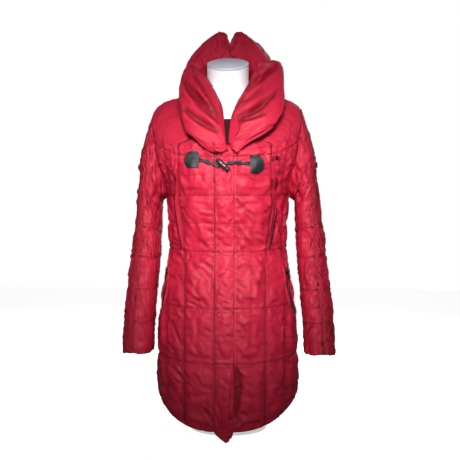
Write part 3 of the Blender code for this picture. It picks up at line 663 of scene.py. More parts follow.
SHELL = SatinShell()
LEATHER = PlainFinish(
    "black_leather", "leather", (0.006, 0.006, 0.007), (0.013, 0.012, 0.014), 0.50, grain=900.0, specular=0.3
)
CORD = PlainFinish("black_braid", "cord", (0.010, 0.010, 0.012), (0.030, 0.030, 0.034), 0.55, grain=1500.0)
HORN = PlainFinish(
    "polished_horn", "horn", (0.008, 0.007, 0.008), (0.045, 0.035, 0.032), 0.16, grain=160.0, coat=0.6
)
TAPE = PlainFinish(
    "zip_tape", "zip_tape", (0.016, 0.012, 0.014), (0.022, 0.018, 0.020), 0.8, grain=1800.0, specular=0.15
)
METAL = PlainFinish("nickel", "zip_metal", (0.52, 0.51, 0.52), (0.30, 0.29, 0.30), 0.28, 1.0, grain=700.0)
DARK_METAL = PlainFinish(
    "black_nickel", "zip_metal", (0.09, 0.085, 0.09), (0.04, 0.04, 0.042), 0.30, 1.0, grain=700.0
)
JERSEY = PlainFinish(
    "white_jersey", "form_cloth", (0.84, 0.82, 0.87), (0.90, 0.88, 0.92), 0.65, grain=1300.0, sheen=0.2
)
CAP = PlainFinish("pale_cap", "form_cap", (0.60, 0.61, 0.74), (0.66, 0.67, 0.78), 0.42, grain=240.0)
# painted glow: the white plate and post glow so that they stay white in the coat's shade
COATING = PlainFinish(
    "white_coating", "stand_white", (0.80, 0.80, 0.81), (0.84, 0.84, 0.85), 0.38, grain=500.0, painted_glow=0.5
)
DARK_THREAD = PlainFinish(
    "charcoal_thread", "leather", (0.050, 0.048, 0.050), (0.085, 0.082, 0.084), 0.6, grain=2500.0
)
# a very dark wine lining, also used as the painted shadow under the straps' lifted edges
LINING_AND_PAINTED_SHADOW = PlainFinish(
    "wine_lining", "shell", (0.018, 0.003, 0.004), (0.034, 0.005, 0.007), 0.7, grain=900.0, specular=0.1
)


# ---------------------------------------------------------------- padded cloth


RIDGE = 0.6  # the ridge beside a wrinkle, as a share of its depth
RIDGE_AWAY = 1.8  # how far the ridge lies from it, in widths


@dataclass(frozen=True)
class Crease:
    """One wrinkle that shows on the front, by x and z of its two ends."""

    x_start: float
    z_start: float
    x_end: float
    z_end: float
    width: float
    depth: float
    bend: float = 0.0

    def carve(self, x: Array, z: Array) -> Array:
        """Sinks points of the front into it and raises a ridge beside it.

        Args:
            x: The points' places across.
            z: Their heights.

        Returns:
            How far each one rises.
        """
        run = np.array((self.x_end - self.x_start, self.z_end - self.z_start))
        length = float(np.hypot(*run))
        run = run / length
        along = ((x - self.x_start) * run[0] + (z - self.z_start) * run[1]) / length
        arch = 4 * along * (1 - along)
        off = (z - self.z_start) * run[0] - (x - self.x_start) * run[1]
        off = (off - self.bend * arch) / self.width
        fade = np.where((along > 0) & (along < 1), np.clip(arch, 0, 1) ** 0.6, 0.0)
        sunk = 1.25 * np.exp(-(off**2)) - RIDGE * np.exp(-((off + RIDGE_AWAY) ** 2) / 1.5)
        return -self.depth * fade * sunk

@dataclass(frozen=True)
class Relief:
    """The small shapes in filled cloth: stitched grooves, puckers that run off them, slanting wrinkles."""

    groove: float = 0.0012
    groove_width: float = 0.0024
    pucker: float = 0.0011
    reach: float = 0.014
    spacing: float = 0.0068
    wrinkle: float = 0.0019
    area_each: float = 0.0012  # cloth to one wrinkle
    slant: float = -0.65
    lengths: tuple[float, float] = (0.014, 0.045)
    widths: tuple[float, float] = (0.0030, 0.0062)

    def puckers(self, along: Array, away: Array, seed: int) -> Array:
        """Puckers that leave a stitched line on both sides.

        Args:
            along: Distances along the line.
            away: Distances from the line, negative on one side.
            seed: Picks the puckers.

        Returns:
            Their heights.
        """
        far = np.abs(away)
        side = np.where(away >= 0, 0.0, 3.7)
        lean = 0.7 * smooth_noise(along, 0.05, seed + 1)
        strength = np.clip(0.65 + 0.9 * smooth_noise(along + side, 0.034, seed + 2), 0.0, 1.4)
        reach = self.reach * (1.0 + 0.5 * smooth_noise(along + side, 0.028, seed + 3))
        wave = smooth_noise(along + lean * far + side, self.spacing, seed + 4)
        return self.pucker * strength * wave * np.exp(-far / reach) * (1.0 - np.exp(-far / 0.0015))

    def wrinkles(self, u: Array, v: Array, seed: int) -> Array:
        """Scatters short slanting wrinkles over a panel's plan.

        Args:
            u: The points' places across the plan.
            v: Their places along it.
            seed: Picks the wrinkles.

        Returns:
            The heights.
        """
        rng = np.random.default_rng(seed)
        height = np.zeros_like(u)
        low_u, low_v, wide, tall = u.min(), v.min(), np.ptp(u), np.ptp(v)
        for _ in range(int(wide * tall / self.area_each)):
            at_u, at_v = low_u + wide * rng.random(), low_v + tall * rng.random()
            angle = self.slant + rng.normal(0.0, 0.45)
            long, width = rng.uniform(*self.lengths), rng.uniform(*self.widths)
            depth, bend = self.wrinkle * rng.uniform(0.3, 1.0), rng.normal(0.0, 0.8)
            du, dv = u - at_u, v - at_v
            along = (du * math.cos(angle) + dv * math.sin(angle)) / long
            near = np.abs(along) < 1
            t = along[near]
            off = (dv[near] * math.cos(angle) - du[near] * math.sin(angle)) / width + bend * t * t
            height[near] -= depth * (1 - off * off) * np.exp(-0.5 * off * off) * (1 - t * t) ** 2
        return height

    def height(self, u: Array, v: Array, row: Array, column: Array, seed: int) -> Array:
        """Adds it all up.

        Args:
            u: The points' places across the plan.
            v: Their places along it.
            row: Their distances from the stitched rows.
            column: Their distances from the stitched columns.
            seed: Picks puckers and wrinkles.

        Returns:
            The heights.
        """
        near = np.minimum(np.abs(row), np.abs(column))
        free = 1.0 - np.exp(-near / 0.004)
        grooves = np.exp(-((row / self.groove_width) ** 2))
        grooves = grooves + 0.7 * np.exp(-((column / self.groove_width) ** 2))
        slack = self.puckers(u, row, seed) + self.puckers(v, column, seed + 50)
        return slack + self.wrinkles(u, v, seed + 100) * free - self.groove * grooves


# For tape and tab, which have no grooves, puckers or wrinkles.
SMOOTH = Relief(groove=0.0, groove_width=0.001, pucker=0.0, wrinkle=0.0)


@dataclass
class Panel:
    """One cut piece before it is filled: a grid of points with its stitched lines."""

    name: str
    points: Array  # rows, columns, 3
    stitched: Array  # rows, columns: 1 where it is sewn down
    fill: float = 0.010  # how far the middle of a bay may stand up
    wrap: bool = False  # the last column meets the first
    fold_depth: float = 0.0034  # the sinking at which a fold's painted shade is at its darkest
    wall: float = 0.0030
    nodes: tuple[str, ...] = ()
    ends: bool = False  # the first and last row are closed
    rows_sewn: Array | None = None  # rows with a thread along them
    columns_sewn: Array | None = None
    relief: Relief = Relief()
    creases: tuple[tuple[float, ...], ...] = ()
    piece: bpy.types.Object | None = None

    def lengths(self) -> tuple[Array, Array]:
        """Measures the grid.

        Returns:
            Distances along the rows, from their middles, and along the columns.
        """
        across = np.linalg.norm(np.diff(self.points, axis=1), axis=-1)
        along = np.linalg.norm(np.diff(self.points, axis=0), axis=-1)
        u = np.concatenate((np.zeros((len(self.points), 1)), np.cumsum(across, axis=1)), axis=1)
        v = np.concatenate((np.zeros((1, self.points.shape[1])), np.cumsum(along, axis=0)), axis=0)
        return u - u[:, -1:] / 2, v

    @staticmethod
    def away(place: Array, lines: Array) -> Array:
        """Measures from places to lines.

        Args:
            place: The places.
            lines: Each place's own lines, on the last axis.

        Returns:
            The signed distance to the nearest line.
        """
        if not lines.shape[-1]:
            return np.full_like(place, 1.0)
        off = place[..., None] - lines
        nearest = np.abs(off).argmin(axis=-1)[..., None]
        return np.take_along_axis(off, nearest, axis=-1)[..., 0]

    @staticmethod
    def tent(away: Array) -> Array:
        """Highest on a line, and 0 from where the finish knows no more of it."""
        return np.maximum(TENT - np.abs(away), 0.0)

    def plan(self) -> dict[str, Array]:
        """Works out what each point knows of the cut.

        Returns:
            Its place on the plan and how far the stitched lines and edges are, by name.
        """
        u, v = self.lengths()
        rows = np.flatnonzero(self.rows_sewn) if self.rows_sewn is not None else np.zeros(0, int)
        columns = np.flatnonzero(self.columns_sewn) if self.columns_sewn is not None else np.zeros(0, int)
        row = self.away(v, np.repeat(v[rows].T[None], len(v), axis=0))
        column = self.away(u, np.repeat(u[:, None, columns], u.shape[1], axis=1))
        edge = np.full_like(u, 1.0) if self.wrap else np.minimum(u - u[:, :1], u[:, -1:] - u)
        return {
            "cut_u": u,
            "cut_v": v,
            "row_away": row,
            "column_away": column,
            "row_tent": self.tent(row),
            "column_tent": self.tent(column),
            "edge_tent": self.tent(edge),
            "sewn": self.stitched,
        }

    def mesh(self) -> bpy.types.Mesh:
        """Makes the unfilled panel.

        Returns:
            Its mesh, with its cutting plan and what each point knows of it.
        """
        rows, columns = self.stitched.shape
        plan = self.plan()
        bm = bmesh.new()
        bmesh.ops.create_grid(bm, x_segments=columns - 1, y_segments=rows - 1, size=0.5)
        cut = bm.loops.layers.uv.new("cut")
        layers = {key: bm.verts.layers.float.new(key) for key in plan}
        at = {vert: grid_place(vert, rows, columns) for vert in bm.verts}
        for vert, place in at.items():
            for key, layer in layers.items():
                vert[layer] = plan[key][place]
        for face in bm.faces:
            for loop in face.loops:
                loop[cut].uv = (plan["cut_u"][at[loop.vert]], plan["cut_v"][at[loop.vert]])
        for vert, place in at.items():
            vert.co = self.points[place]
        if self.wrap:
            bmesh.ops.remove_doubles(bm, verts=bm.verts, dist=MERGE)
        if self.ends:
            bmesh.ops.holes_fill(bm, edges=[e for e in bm.edges if e.is_boundary], sides=0)
        mesh = bpy.data.meshes.new(self.name)
        bm.to_mesh(mesh)
        bm.free()
        return mesh

    def finish(self, mesh: bpy.types.Mesh, finish: Finish, seed: int) -> bpy.types.Object:
        """Makes the filled mesh finer, gives it its relief and its wall, and makes it a piece.

        Args:
            mesh: The panel's mesh, filled.
            finish: Its material.
            seed: Picks its wrinkles.

        Returns:
            The piece.
        """
        rough = bpy.data.objects.new("rough", mesh)
        bpy.context.scene.collection.objects.link(rough)
        finer = rough.modifiers.new("Finer", "SUBSURF")
        finer.levels = finer.render_levels = 1
        fine = bpy.data.meshes.new_from_object(rough.evaluated_get(bpy.context.evaluated_depsgraph_get()))
        bpy.data.objects.remove(rough)
        bpy.data.meshes.remove(mesh)
        places, normals = read_vectors(fine, "co"), read_vectors(fine, "normal")
        known = [read_numbers(fine, name) for name in ("cut_u", "cut_v", "row_away", "column_away")]
        lift = self.relief.height(*known, seed)
        facing = np.clip(-normals[:, 1] * 2.0, 0.0, 1.0)
        for crease in self.creases:
            lift += Crease(*crease).carve(places[:, 0], places[:, 2]) * facing
        fine.vertices.foreach_set("co", (places + normals * lift[:, None]).reshape(-1))
        # painted shade: how deep each point lies in a valley, which darkens the shell's colour there
        fold = fine.attributes.new("fold", "FLOAT", "POINT")
        fold.data.foreach_set("value", np.clip(-lift / self.fold_depth, 0.0, 1.0))
        for name in ("cut_u", "cut_v", "row_away", "column_away", "sewn"):
            fine.attributes.remove(fine.attributes[name])
        bm = bmesh.new()
        bm.from_mesh(fine)
        bpy.data.meshes.remove(fine)
        self.piece = finish_piece(self.name, bm, finish, *self.nodes)
        if not self.ends:
            wall = self.piece.modifiers.new("Wall", "SOLIDIFY")
            wall.thickness, wall.offset, wall.use_rim = self.wall, -1.0, True
        return self.piece


@dataclass
class DownFill:
    """Fills all panels in one cloth simulation.

    Stitched points hold, and pressure and spare cloth raise the rest.
    """

    frames: int = 15
    pressure: float = 2.6
    spare: float = 0.11  # spare cloth between the stitched lines, as a share
    bending: float = 0.03
    sideways: float = 0.006  # the most that a point may slip along the surface
    inwards: float = 0.0015  # the most that a point may sink
    panels: list[Panel] = field(default_factory=list)

    def add(self, panel: Panel) -> None:
        """Takes in a panel."""
        self.panels.append(panel)

    def run(self) -> None:
        """Simulates, caps how far each point moves, and makes every panel a finished piece."""
        meshes = [panel.mesh() for panel in self.panels]
        joined = bmesh.new()
        for mesh in meshes:
            joined.from_mesh(mesh)
        cloth_mesh = bpy.data.meshes.new("cloth")
        joined.to_mesh(cloth_mesh)
        joined.free()
        cloth = bpy.data.objects.new("cloth", cloth_mesh)
        bpy.context.scene.collection.objects.link(cloth)
        rest, normals = read_vectors(cloth_mesh, "co"), read_vectors(cloth_mesh, "normal")
        moved = self.simulate(cloth, read_numbers(cloth_mesh, "sewn"))
        bpy.data.objects.remove(cloth)
        bpy.data.meshes.remove(cloth_mesh)
        start = 0
        for number, (panel, mesh) in enumerate(zip(self.panels, meshes)):
            part = slice(start, start + len(mesh.vertices))
            start = part.stop
            self.settle(panel, mesh, rest[part], moved[part] - rest[part], normals[part])
            panel.finish(mesh, SHELL, 1000 * number)

    def simulate(self, cloth: bpy.types.Object, sewn: Array) -> Array:
        """Runs the cloth.

        Args:
            cloth: All the panels as one object.
            sewn: How firmly each point is sewn down.

        Returns:
            Where the points end.
        """
        group = cloth.vertex_groups.new(name="sewn")
        group.add([int(i) for i in np.flatnonzero(sewn > 0.5)], 1.0, "REPLACE")
        cloth_modifier = cloth.modifiers.new("Cloth", "CLOTH")
        settings = cloth_modifier.settings
        settings.quality = 4
        settings.mass = 0.12
        settings.tension_stiffness = settings.compression_stiffness = 12.0
        settings.shear_stiffness = 4.0
        settings.bending_stiffness = self.bending
        settings.tension_damping = settings.compression_damping = settings.shear_damping = 4.0
        settings.air_damping = 2.0
        settings.use_pressure = True
        settings.uniform_pressure_force = self.pressure
        settings.shrink_min = -self.spare
        settings.vertex_group_mass = "sewn"
        settings.pin_stiffness = 1.0
        settings.effector_weights.gravity = 0.0
        cloth_modifier.collision_settings.use_collision = False
        cloth_modifier.collision_settings.use_self_collision = False
        cloth_modifier.point_cache.frame_start = 1
        cloth_modifier.point_cache.frame_end = self.frames
        scene = bpy.context.scene
        for number in range(1, self.frames + 1):
            scene.frame_set(number)
        graph = bpy.context.evaluated_depsgraph_get()
        moved = read_vectors(cloth.evaluated_get(graph).to_mesh(), "co")
        cloth.evaluated_get(graph).to_mesh_clear()
        scene.frame_set(1)
        return moved

    def settle(self, panel: Panel, mesh: bpy.types.Mesh, rest: Array, move: Array, normals: Array) -> None:
        """Caps a panel's move and smooths it a little.

        Args:
            panel: The panel.
            mesh: Its own mesh.
            rest: Its points before filling.
            move: How far each point went.
            normals: The way out at each point.
        """
        along = (move * normals).sum(axis=1)
        side = move - normals * along[:, None]
        reach = np.linalg.norm(side, axis=1)
        side *= np.minimum(1.0, self.sideways / np.maximum(reach, 1e-9))[:, None]
        cap = panel.fill
        along = np.where(along > 0, cap * np.tanh(along / cap), np.maximum(along, -self.inwards))
        placed = rest + side + normals * along[:, None]
        mesh.vertices.foreach_set("co", placed.reshape(-1))
        bm = bmesh.new()
        bm.from_mesh(mesh)
        sewn = bm.verts.layers.float["sewn"]
        free = [v for v in bm.verts if v[sewn] < 0.5 and not v.is_boundary]
        bmesh.ops.smooth_vert(bm, verts=free, factor=0.25, use_axis_x=True, use_axis_y=True, use_axis_z=True)
        bm.to_mesh(mesh)
        bm.free()


# ---------------------------------------------------------------- the front's main wrinkles


# Each row: x and z of one end, x and z of the other, width, depth and bend.
FRONT_CREASES = (
    (0.029, 0.18, 0.015, 0.055, 0.0075, 0.0075, 0.003), (0.04, 0.15, 0.024, 0.06, 0.006, 0.0035, 0.003),
    (-0.06, 0.583, -0.026, 0.576, 0.0035, 0.0016, 0.001),
    (-0.067, 0.569, -0.028, 0.565, 0.0035, 0.0014, -0.001),
    (-0.057, 0.549, -0.027, 0.542, 0.004, 0.0018, 0.001), (-0.048, 0.53, -0.025, 0.52, 0.004, 0.0016, 0.001),
    (-0.08, 0.501, -0.031, 0.48, 0.005, 0.0014, 0.003), (-0.095, 0.474, -0.057, 0.412, 0.005, 0.002, -0.004),
    (-0.087, 0.467, -0.028, 0.427, 0.005, 0.0014, 0.004),
    (-0.093, 0.409, -0.055, 0.361, 0.005, 0.0018, -0.003),
    (-0.037, 0.42, -0.023, 0.368, 0.004, 0.0018, 0.001), (-0.053, 0.451, -0.024, 0.427, 0.004, 0.0014),
    (0.026, 0.62, 0.066, 0.611, 0.004, 0.0016, -0.001), (0.027, 0.606, 0.084, 0.56, 0.005, 0.002, -0.004),
    (0.03, 0.586, 0.072, 0.543, 0.005, 0.002, 0.003), (0.026, 0.55, 0.075, 0.484, 0.0055, 0.0026, -0.005),
    (0.039, 0.557, 0.102, 0.489, 0.005, 0.002, -0.004), (0.026, 0.498, 0.052, 0.475, 0.004, 0.0022, 0.001),
    (0.024, 0.525, 0.039, 0.489, 0.004, 0.0016), (0.028, 0.436, 0.052, 0.424, 0.004, 0.0018, 0.001),
    (0.028, 0.409, 0.06, 0.387, 0.0045, 0.002, -0.001), (0.057, 0.454, 0.098, 0.391, 0.005, 0.002, -0.004),
    (0.077, 0.467, 0.104, 0.427, 0.004, 0.0016, 0.001), (0.03, 0.382, 0.057, 0.358, 0.004, 0.0016),
    (-0.145, 0.543, -0.123, 0.535, 0.0035, 0.0014), (-0.145, 0.525, -0.121, 0.516, 0.0035, 0.0016, 0.001),
    (-0.14, 0.505, -0.121, 0.498, 0.0035, 0.0014), (-0.123, 0.467, -0.101, 0.427, 0.004, 0.0016, 0.002),
    (-0.119, 0.413, -0.1, 0.373, 0.004, 0.0014), (0.133, 0.573, 0.16, 0.56, 0.0035, 0.0016),
    (0.134, 0.543, 0.158, 0.525, 0.004, 0.0018), (0.14, 0.467, 0.169, 0.436, 0.004, 0.0018, -0.002),
    (0.128, 0.498, 0.149, 0.467, 0.004, 0.0016), (0.149, 0.427, 0.173, 0.391, 0.004, 0.0014),
    (-0.092, 0.373, -0.06, 0.346, 0.0045, 0.0014, 0.001), (-0.053, 0.314, -0.024, 0.305, 0.004, 0.0014),
    (-0.06, 0.292, -0.025, 0.274, 0.0045, 0.0014), (-0.047, 0.22, -0.023, 0.202, 0.004, 0.0014),
    (-0.091, 0.184, -0.056, 0.148, 0.005, 0.0014, 0.002), (-0.06, 0.148, -0.024, 0.13, 0.0045, 0.0014),
    (-0.051, 0.09, -0.024, 0.049, 0.0045, 0.0014), (0.03, 0.301, 0.057, 0.274, 0.005, 0.0018, 0.002),
    (0.03, 0.278, 0.084, 0.233, 0.005, 0.0014, -0.003), (0.03, 0.233, 0.066, 0.202, 0.0045, 0.0014),
    (0.027, 0.191, 0.042, 0.137, 0.007, 0.004, 0.002), (0.034, 0.184, 0.079, 0.13, 0.005, 0.0016, -0.003),
    (0.012, 0.094, 0.048, 0.04, 0.005, 0.0016), (0.108, 0.337, 0.137, 0.314, 0.004, 0.0014),
    (0.11, 0.292, 0.142, 0.251, 0.004, 0.0014, 0.002), (0.146, 0.314, 0.173, 0.274, 0.0045, 0.0018, -0.002),
    (0.149, 0.256, 0.185, 0.247, 0.004, 0.0016), (0.115, 0.18, 0.142, 0.13, 0.004, 0.0014),
    (0.146, 0.193, 0.18, 0.184, 0.004, 0.0016), (0.137, 0.148, 0.173, 0.094, 0.0045, 0.0016, 0.003),
    (-0.128, 0.341, -0.101, 0.314, 0.004, 0.0016, 0.001), (-0.15, 0.31, -0.123, 0.265, 0.0045, 0.0018, 0.002),
    (-0.128, 0.278, -0.101, 0.233, 0.004, 0.0016, -0.002),
    (-0.15, 0.247, -0.119, 0.202, 0.0045, 0.0014, 0.002),
    (-0.145, 0.189, -0.103, 0.148, 0.0045, 0.0016, 0.003),
    (-0.128, 0.13, -0.101, 0.067, 0.0045, 0.0014, 0.002),
    (-0.159, 0.166, -0.128, 0.112, 0.0045, 0.0014, 0.001),
)
FLAP_CREASES = (
    (-0.014, 0.105, 0.004, 0.02, 0.005, 0.005, 0.002), (0.004, 0.135, 0.01, 0.04, 0.006, 0.006, -0.002),
    (-0.018, 0.075, -0.004, 0.018, 0.004, 0.0035), (-0.021, 0.53, 0.017, 0.511, 0.0035, 0.0015),
    (-0.017, 0.505, 0.017, 0.494, 0.0035, 0.0014), (-0.02, 0.476, 0.012, 0.445, 0.004, 0.0016, 0.001),
    (-0.015, 0.44, 0.022, 0.42, 0.0035, 0.0015), (-0.019, 0.418, 0.019, 0.391, 0.004, 0.0018, 0.001),
    (-0.015, 0.391, 0.012, 0.368, 0.0035, 0.0014), (-0.02, 0.575, -0.006, 0.543, 0.0035, 0.0012),
    (-0.006, 0.543, 0.018, 0.525, 0.0035, 0.0012), (-0.02, 0.373, 0.022, 0.355, 0.0035, 0.0015),
    (-0.017, 0.35, 0.018, 0.323, 0.004, 0.0016), (-0.02, 0.314, 0.021, 0.305, 0.003, 0.0014),
    (-0.015, 0.274, 0.022, 0.247, 0.004, 0.0014, 0.001), (-0.02, 0.238, 0.012, 0.211, 0.004, 0.0014),
    (-0.006, 0.202, 0.021, 0.184, 0.0035, 0.0014), (-0.017, 0.148, 0.012, 0.094, 0.005, 0.002, 0.002),
    (-0.006, 0.085, 0.005, 0.031, 0.005, 0.002, 0.001),
)
COLLAR_CREASES = (
    (-0.113, 0.915, -0.01, 0.802, 0.0085, 0.009, -0.004), (-0.092, 0.931, -0.01, 0.812, 0.006, 0.0045, 0.003),
    (-0.104, 0.834, -0.01, 0.772, 0.008, 0.009, -0.004), (-0.073, 0.872, -0.024, 0.824, 0.005, 0.004),
    (-0.082, 0.846, -0.006, 0.79, 0.0055, 0.004, 0.002), (-0.104, 0.885, -0.055, 0.83, 0.0055, 0.004, 0.001),
    (-0.076, 0.958, -0.048, 0.912, 0.005, 0.003), (0.083, 0.924, 0.018, 0.866, 0.008, 0.0085, 0.003),
    (0.116, 0.936, 0.058, 0.908, 0.006, 0.005, -0.002), (0.106, 0.854, 0.028, 0.808, 0.008, 0.0085, 0.004),
    (0.134, 0.884, 0.054, 0.812, 0.0065, 0.0055, 0.002), (0.068, 0.98, 0.027, 0.898, 0.0045, 0.0035),
    (0.125, 0.953, 0.078, 0.893, 0.0055, 0.004), (0.046, 0.862, 0.012, 0.82, 0.005, 0.0045, 0.002),
    (0.095, 0.89, 0.042, 0.842, 0.0055, 0.0035), (0.03, 0.8, 0.1, 0.822, 0.006, 0.006, -0.003),
)
HOOD_CREASES = (
    (-0.08, 0.96, -0.042, 0.981, 0.0047, 0.007, 0.002), (-0.093, 0.94, -0.052, 0.96, 0.0052, 0.0085, 0.002),
    (-0.067, 0.991, -0.032, 1.007, 0.0047, 0.0062), (-0.037, 0.971, -0.011, 1.002, 0.0043, 0.0062, 0.002),
    (-0.055, 0.986, -0.006, 0.981, 0.0047, 0.0078, -0.003), (-0.027, 0.961, 0.004, 0.986, 0.0043, 0.007),
    (-0.103, 0.92, -0.078, 0.946, 0.0052, 0.0078), (0.035, 1.007, 0.014, 0.981, 0.0043, 0.007),
    (0.06, 0.991, 0.024, 0.971, 0.0047, 0.007, 0.002), (0.08, 0.971, 0.045, 0.966, 0.0052, 0.0078, -0.002),
    (0.096, 0.956, 0.065, 0.946, 0.0047, 0.0078), (0.052, 0.961, 0.024, 0.997, 0.0043, 0.007, 0.002),
    (0.091, 0.935, 0.075, 0.961, 0.0047, 0.007),
)


# ---------------------------------------------------------------- the torso


SEAM_WALL = 0.004  # the wall's thickness where it is sewn down
BELOW_HEM = -0.1
PRESHAPED = 0.35  # the share of a puff that a panel has before it is filled
MIDDLE_BAYS = (0.170, 0.138, 0.142, 0.142, 0.150)  # the lengths of the body's bays up to the chest


@dataclass(frozen=True)
class TorsoForm:
    """The coat's torso surface, by turn and level.

    The turn is 0 at the middle of the front and positive to the wearer's left.
    """

    levels: tuple[tuple[float, ...], ...] = (  # half width, front, back, z front, z side, z back, corner
        (0.174, 0.158, 0.154, 0.028, 0.092, 0.030, 1.00),
        (0.176, 0.158, 0.156, 0.198, 0.208, 0.200, 0.98),
        (0.168, 0.152, 0.150, 0.334, 0.340, 0.334, 0.97),
        (0.148, 0.134, 0.124, 0.475, 0.480, 0.476, 0.97),
        (0.154, 0.150, 0.138, 0.616, 0.618, 0.620, 0.92),
        (0.190, 0.150, 0.146, 0.690, 0.706, 0.710, 0.76),
        (0.200, 0.146, 0.142, 0.712, 0.776, 0.785, 0.72),
        (0.184, 0.144, 0.124, 0.726, 0.838, 0.848, 0.76),
        (0.076, 0.138, 0.084, 0.740, 0.886, 0.884, 0.95),
    )
    side_climb: float = 3.0
    waist: float = 3.0
    armpit: float = 4.0
    shoulder: float = 7.0
    neck: float = 8.0
    quilting: tuple[float, ...] = (0, 1, 2, 3, 4, 6, 8)
    princess_low: float = 0.101
    princess_high: float = 0.116
    princess_neck: float = 0.050
    princess_rise: float = 0.8
    side_stitch: float = 0.147
    stitch_inside: float = 0.93
    back_princess: float = 0.088
    back_neck: float = 0.045
    armhole_spread: float = math.radians(31)
    halvings: int = 17

    def inside(self, turn: Array, level: Array) -> Array:
        """Finds the coat's inside.

        Args:
            turn: Turns.
            level: Levels.

        Returns:
            The points.
        """
        size = np.moveaxis(spline(self.levels, level), -1, 0)
        half_width, front, back, z_front, z_side, z_back, corner = size
        across, along = np.sin(turn), np.cos(turn)
        depth = np.where(along > 0, front, back)
        z_middle = np.where(along > 0, z_front, z_back)
        climb = np.abs(across) ** self.side_climb
        x = half_width * np.sign(across) * np.abs(across) ** corner
        return np.stack((x, -depth * along, z_middle + (z_side - z_middle) * climb), axis=-1)

    def lifted(self, turn: Array, level: Array, lift: Array | float) -> Array:
        """Points off the inside by a lift."""
        return self.inside(turn, level) + way_out(self.inside, turn, level) * np.asarray(lift)[..., None]

    def front_turn(self, x: Array | float, level: Array) -> Array:
        """Finds a place on the front by its x.

        Args:
            x: Its distance from the middle.
            level: Its level.

        Returns:
            Its turn.
        """
        size = spline(self.levels, level)
        share = np.minimum(np.abs(x) / size[..., 0], 1.0) ** (1.0 / size[..., 6])
        return np.arcsin(share) * np.sign(x)

    def closing(self, level: Array) -> Array:
        """0 up to the shoulder, 1 at the neck."""
        return np.clip((level - self.shoulder) / (self.neck - self.shoulder), 0, 1)

    def princess(self, level: Array) -> Array:
        """Runs the princess seam.

        Args:
            level: Levels.

        Returns:
            Its turns.
        """
        rise = np.clip((level - self.waist) / self.princess_rise, 0, 1)
        spread = self.princess_low + (self.princess_high - self.princess_low) * rise
        return self.front_turn(spread + (self.princess_neck - spread) * self.closing(level), level)

    def armhole(self, level: Array) -> Array:
        """How far the armhole cuts back from the side, as a turn."""
        middle, reach = (self.armpit + self.shoulder) / 2, (self.shoulder - self.armpit) / 2
        return self.armhole_spread * np.sqrt(np.maximum(1.0 - ((level - middle) / reach) ** 2, 0.0))

    def front_side(self, level: Array) -> Array:
        """The front panel's side edge."""
        return math.pi / 2 - self.armhole(level)

    def back_side(self, level: Array) -> Array:
        """The back panel's side edge."""
        return math.pi / 2 + self.armhole(level)

    def stitch(self, level: Array) -> Array:
        """Runs the seam below the pocket.

        Args:
            level: Levels.

        Returns:
            Its turns.
        """
        size = spline(self.levels, level)
        low = self.front_turn(np.minimum(self.side_stitch, self.stitch_inside * size[..., 0]), level)
        share = np.clip(level - self.waist, 0, 1)
        middle = (self.princess(level) + self.front_side(level)) / 2
        return low + (middle - low) * share

    def back_seam(self, level: Array) -> Array:
        """The back princess seam."""
        x = self.back_princess + (self.back_neck - self.back_princess) * self.closing(level)
        return math.pi - self.front_turn(x, level)

    def front_level(self, x: float, z: float) -> float:
        """Finds a place on the front by its height.

        Args:
            x: Its distance from the middle.
            z: Its height.

        Returns:
            Its level.
        """
        low, high = 0.0, self.neck - 0.5
        for _ in range(self.halvings):
            middle = (low + high) / 2
            at = np.array(middle)
            low, high = (middle, high) if self.inside(self.front_turn(x, at), at)[2] < z else (low, middle)
        return (low + high) / 2

    def front_place(self, x: float, z: float) -> tuple[Vector, Vector]:
        """Finds a point of the front.

        Args:
            x: Its distance from the middle.
            z: Its height.

        Returns:
            The point and its way out.
        """
        level = np.array(self.front_level(x, z))
        turn = self.front_turn(x, level)
        return Vector(self.inside(turn, level)), Vector(way_out(self.inside, turn, level))


TORSO = TorsoForm()


def bay_rows(lines: Sequence[float], lengths: Sequence[float]) -> tuple[Array, Array]:
    """Rows spread between stitched lines.

    Args:
        lines: The stitched lines' levels.
        lengths: Each bay's real length, in metres.

    Returns:
        The rows' levels and their share of the way through their bay.
    """
    levels, shares = [], []
    for low, high, length in zip(lines, lines[1:], lengths):
        count = max(round(length / CELL), 4)
        share = np.arange(count) / count
        levels.append(low + (high - low) * share)
        shares.append(share)
    return np.concatenate((*levels, [lines[-1]])), np.concatenate((*shares, [0.0]))


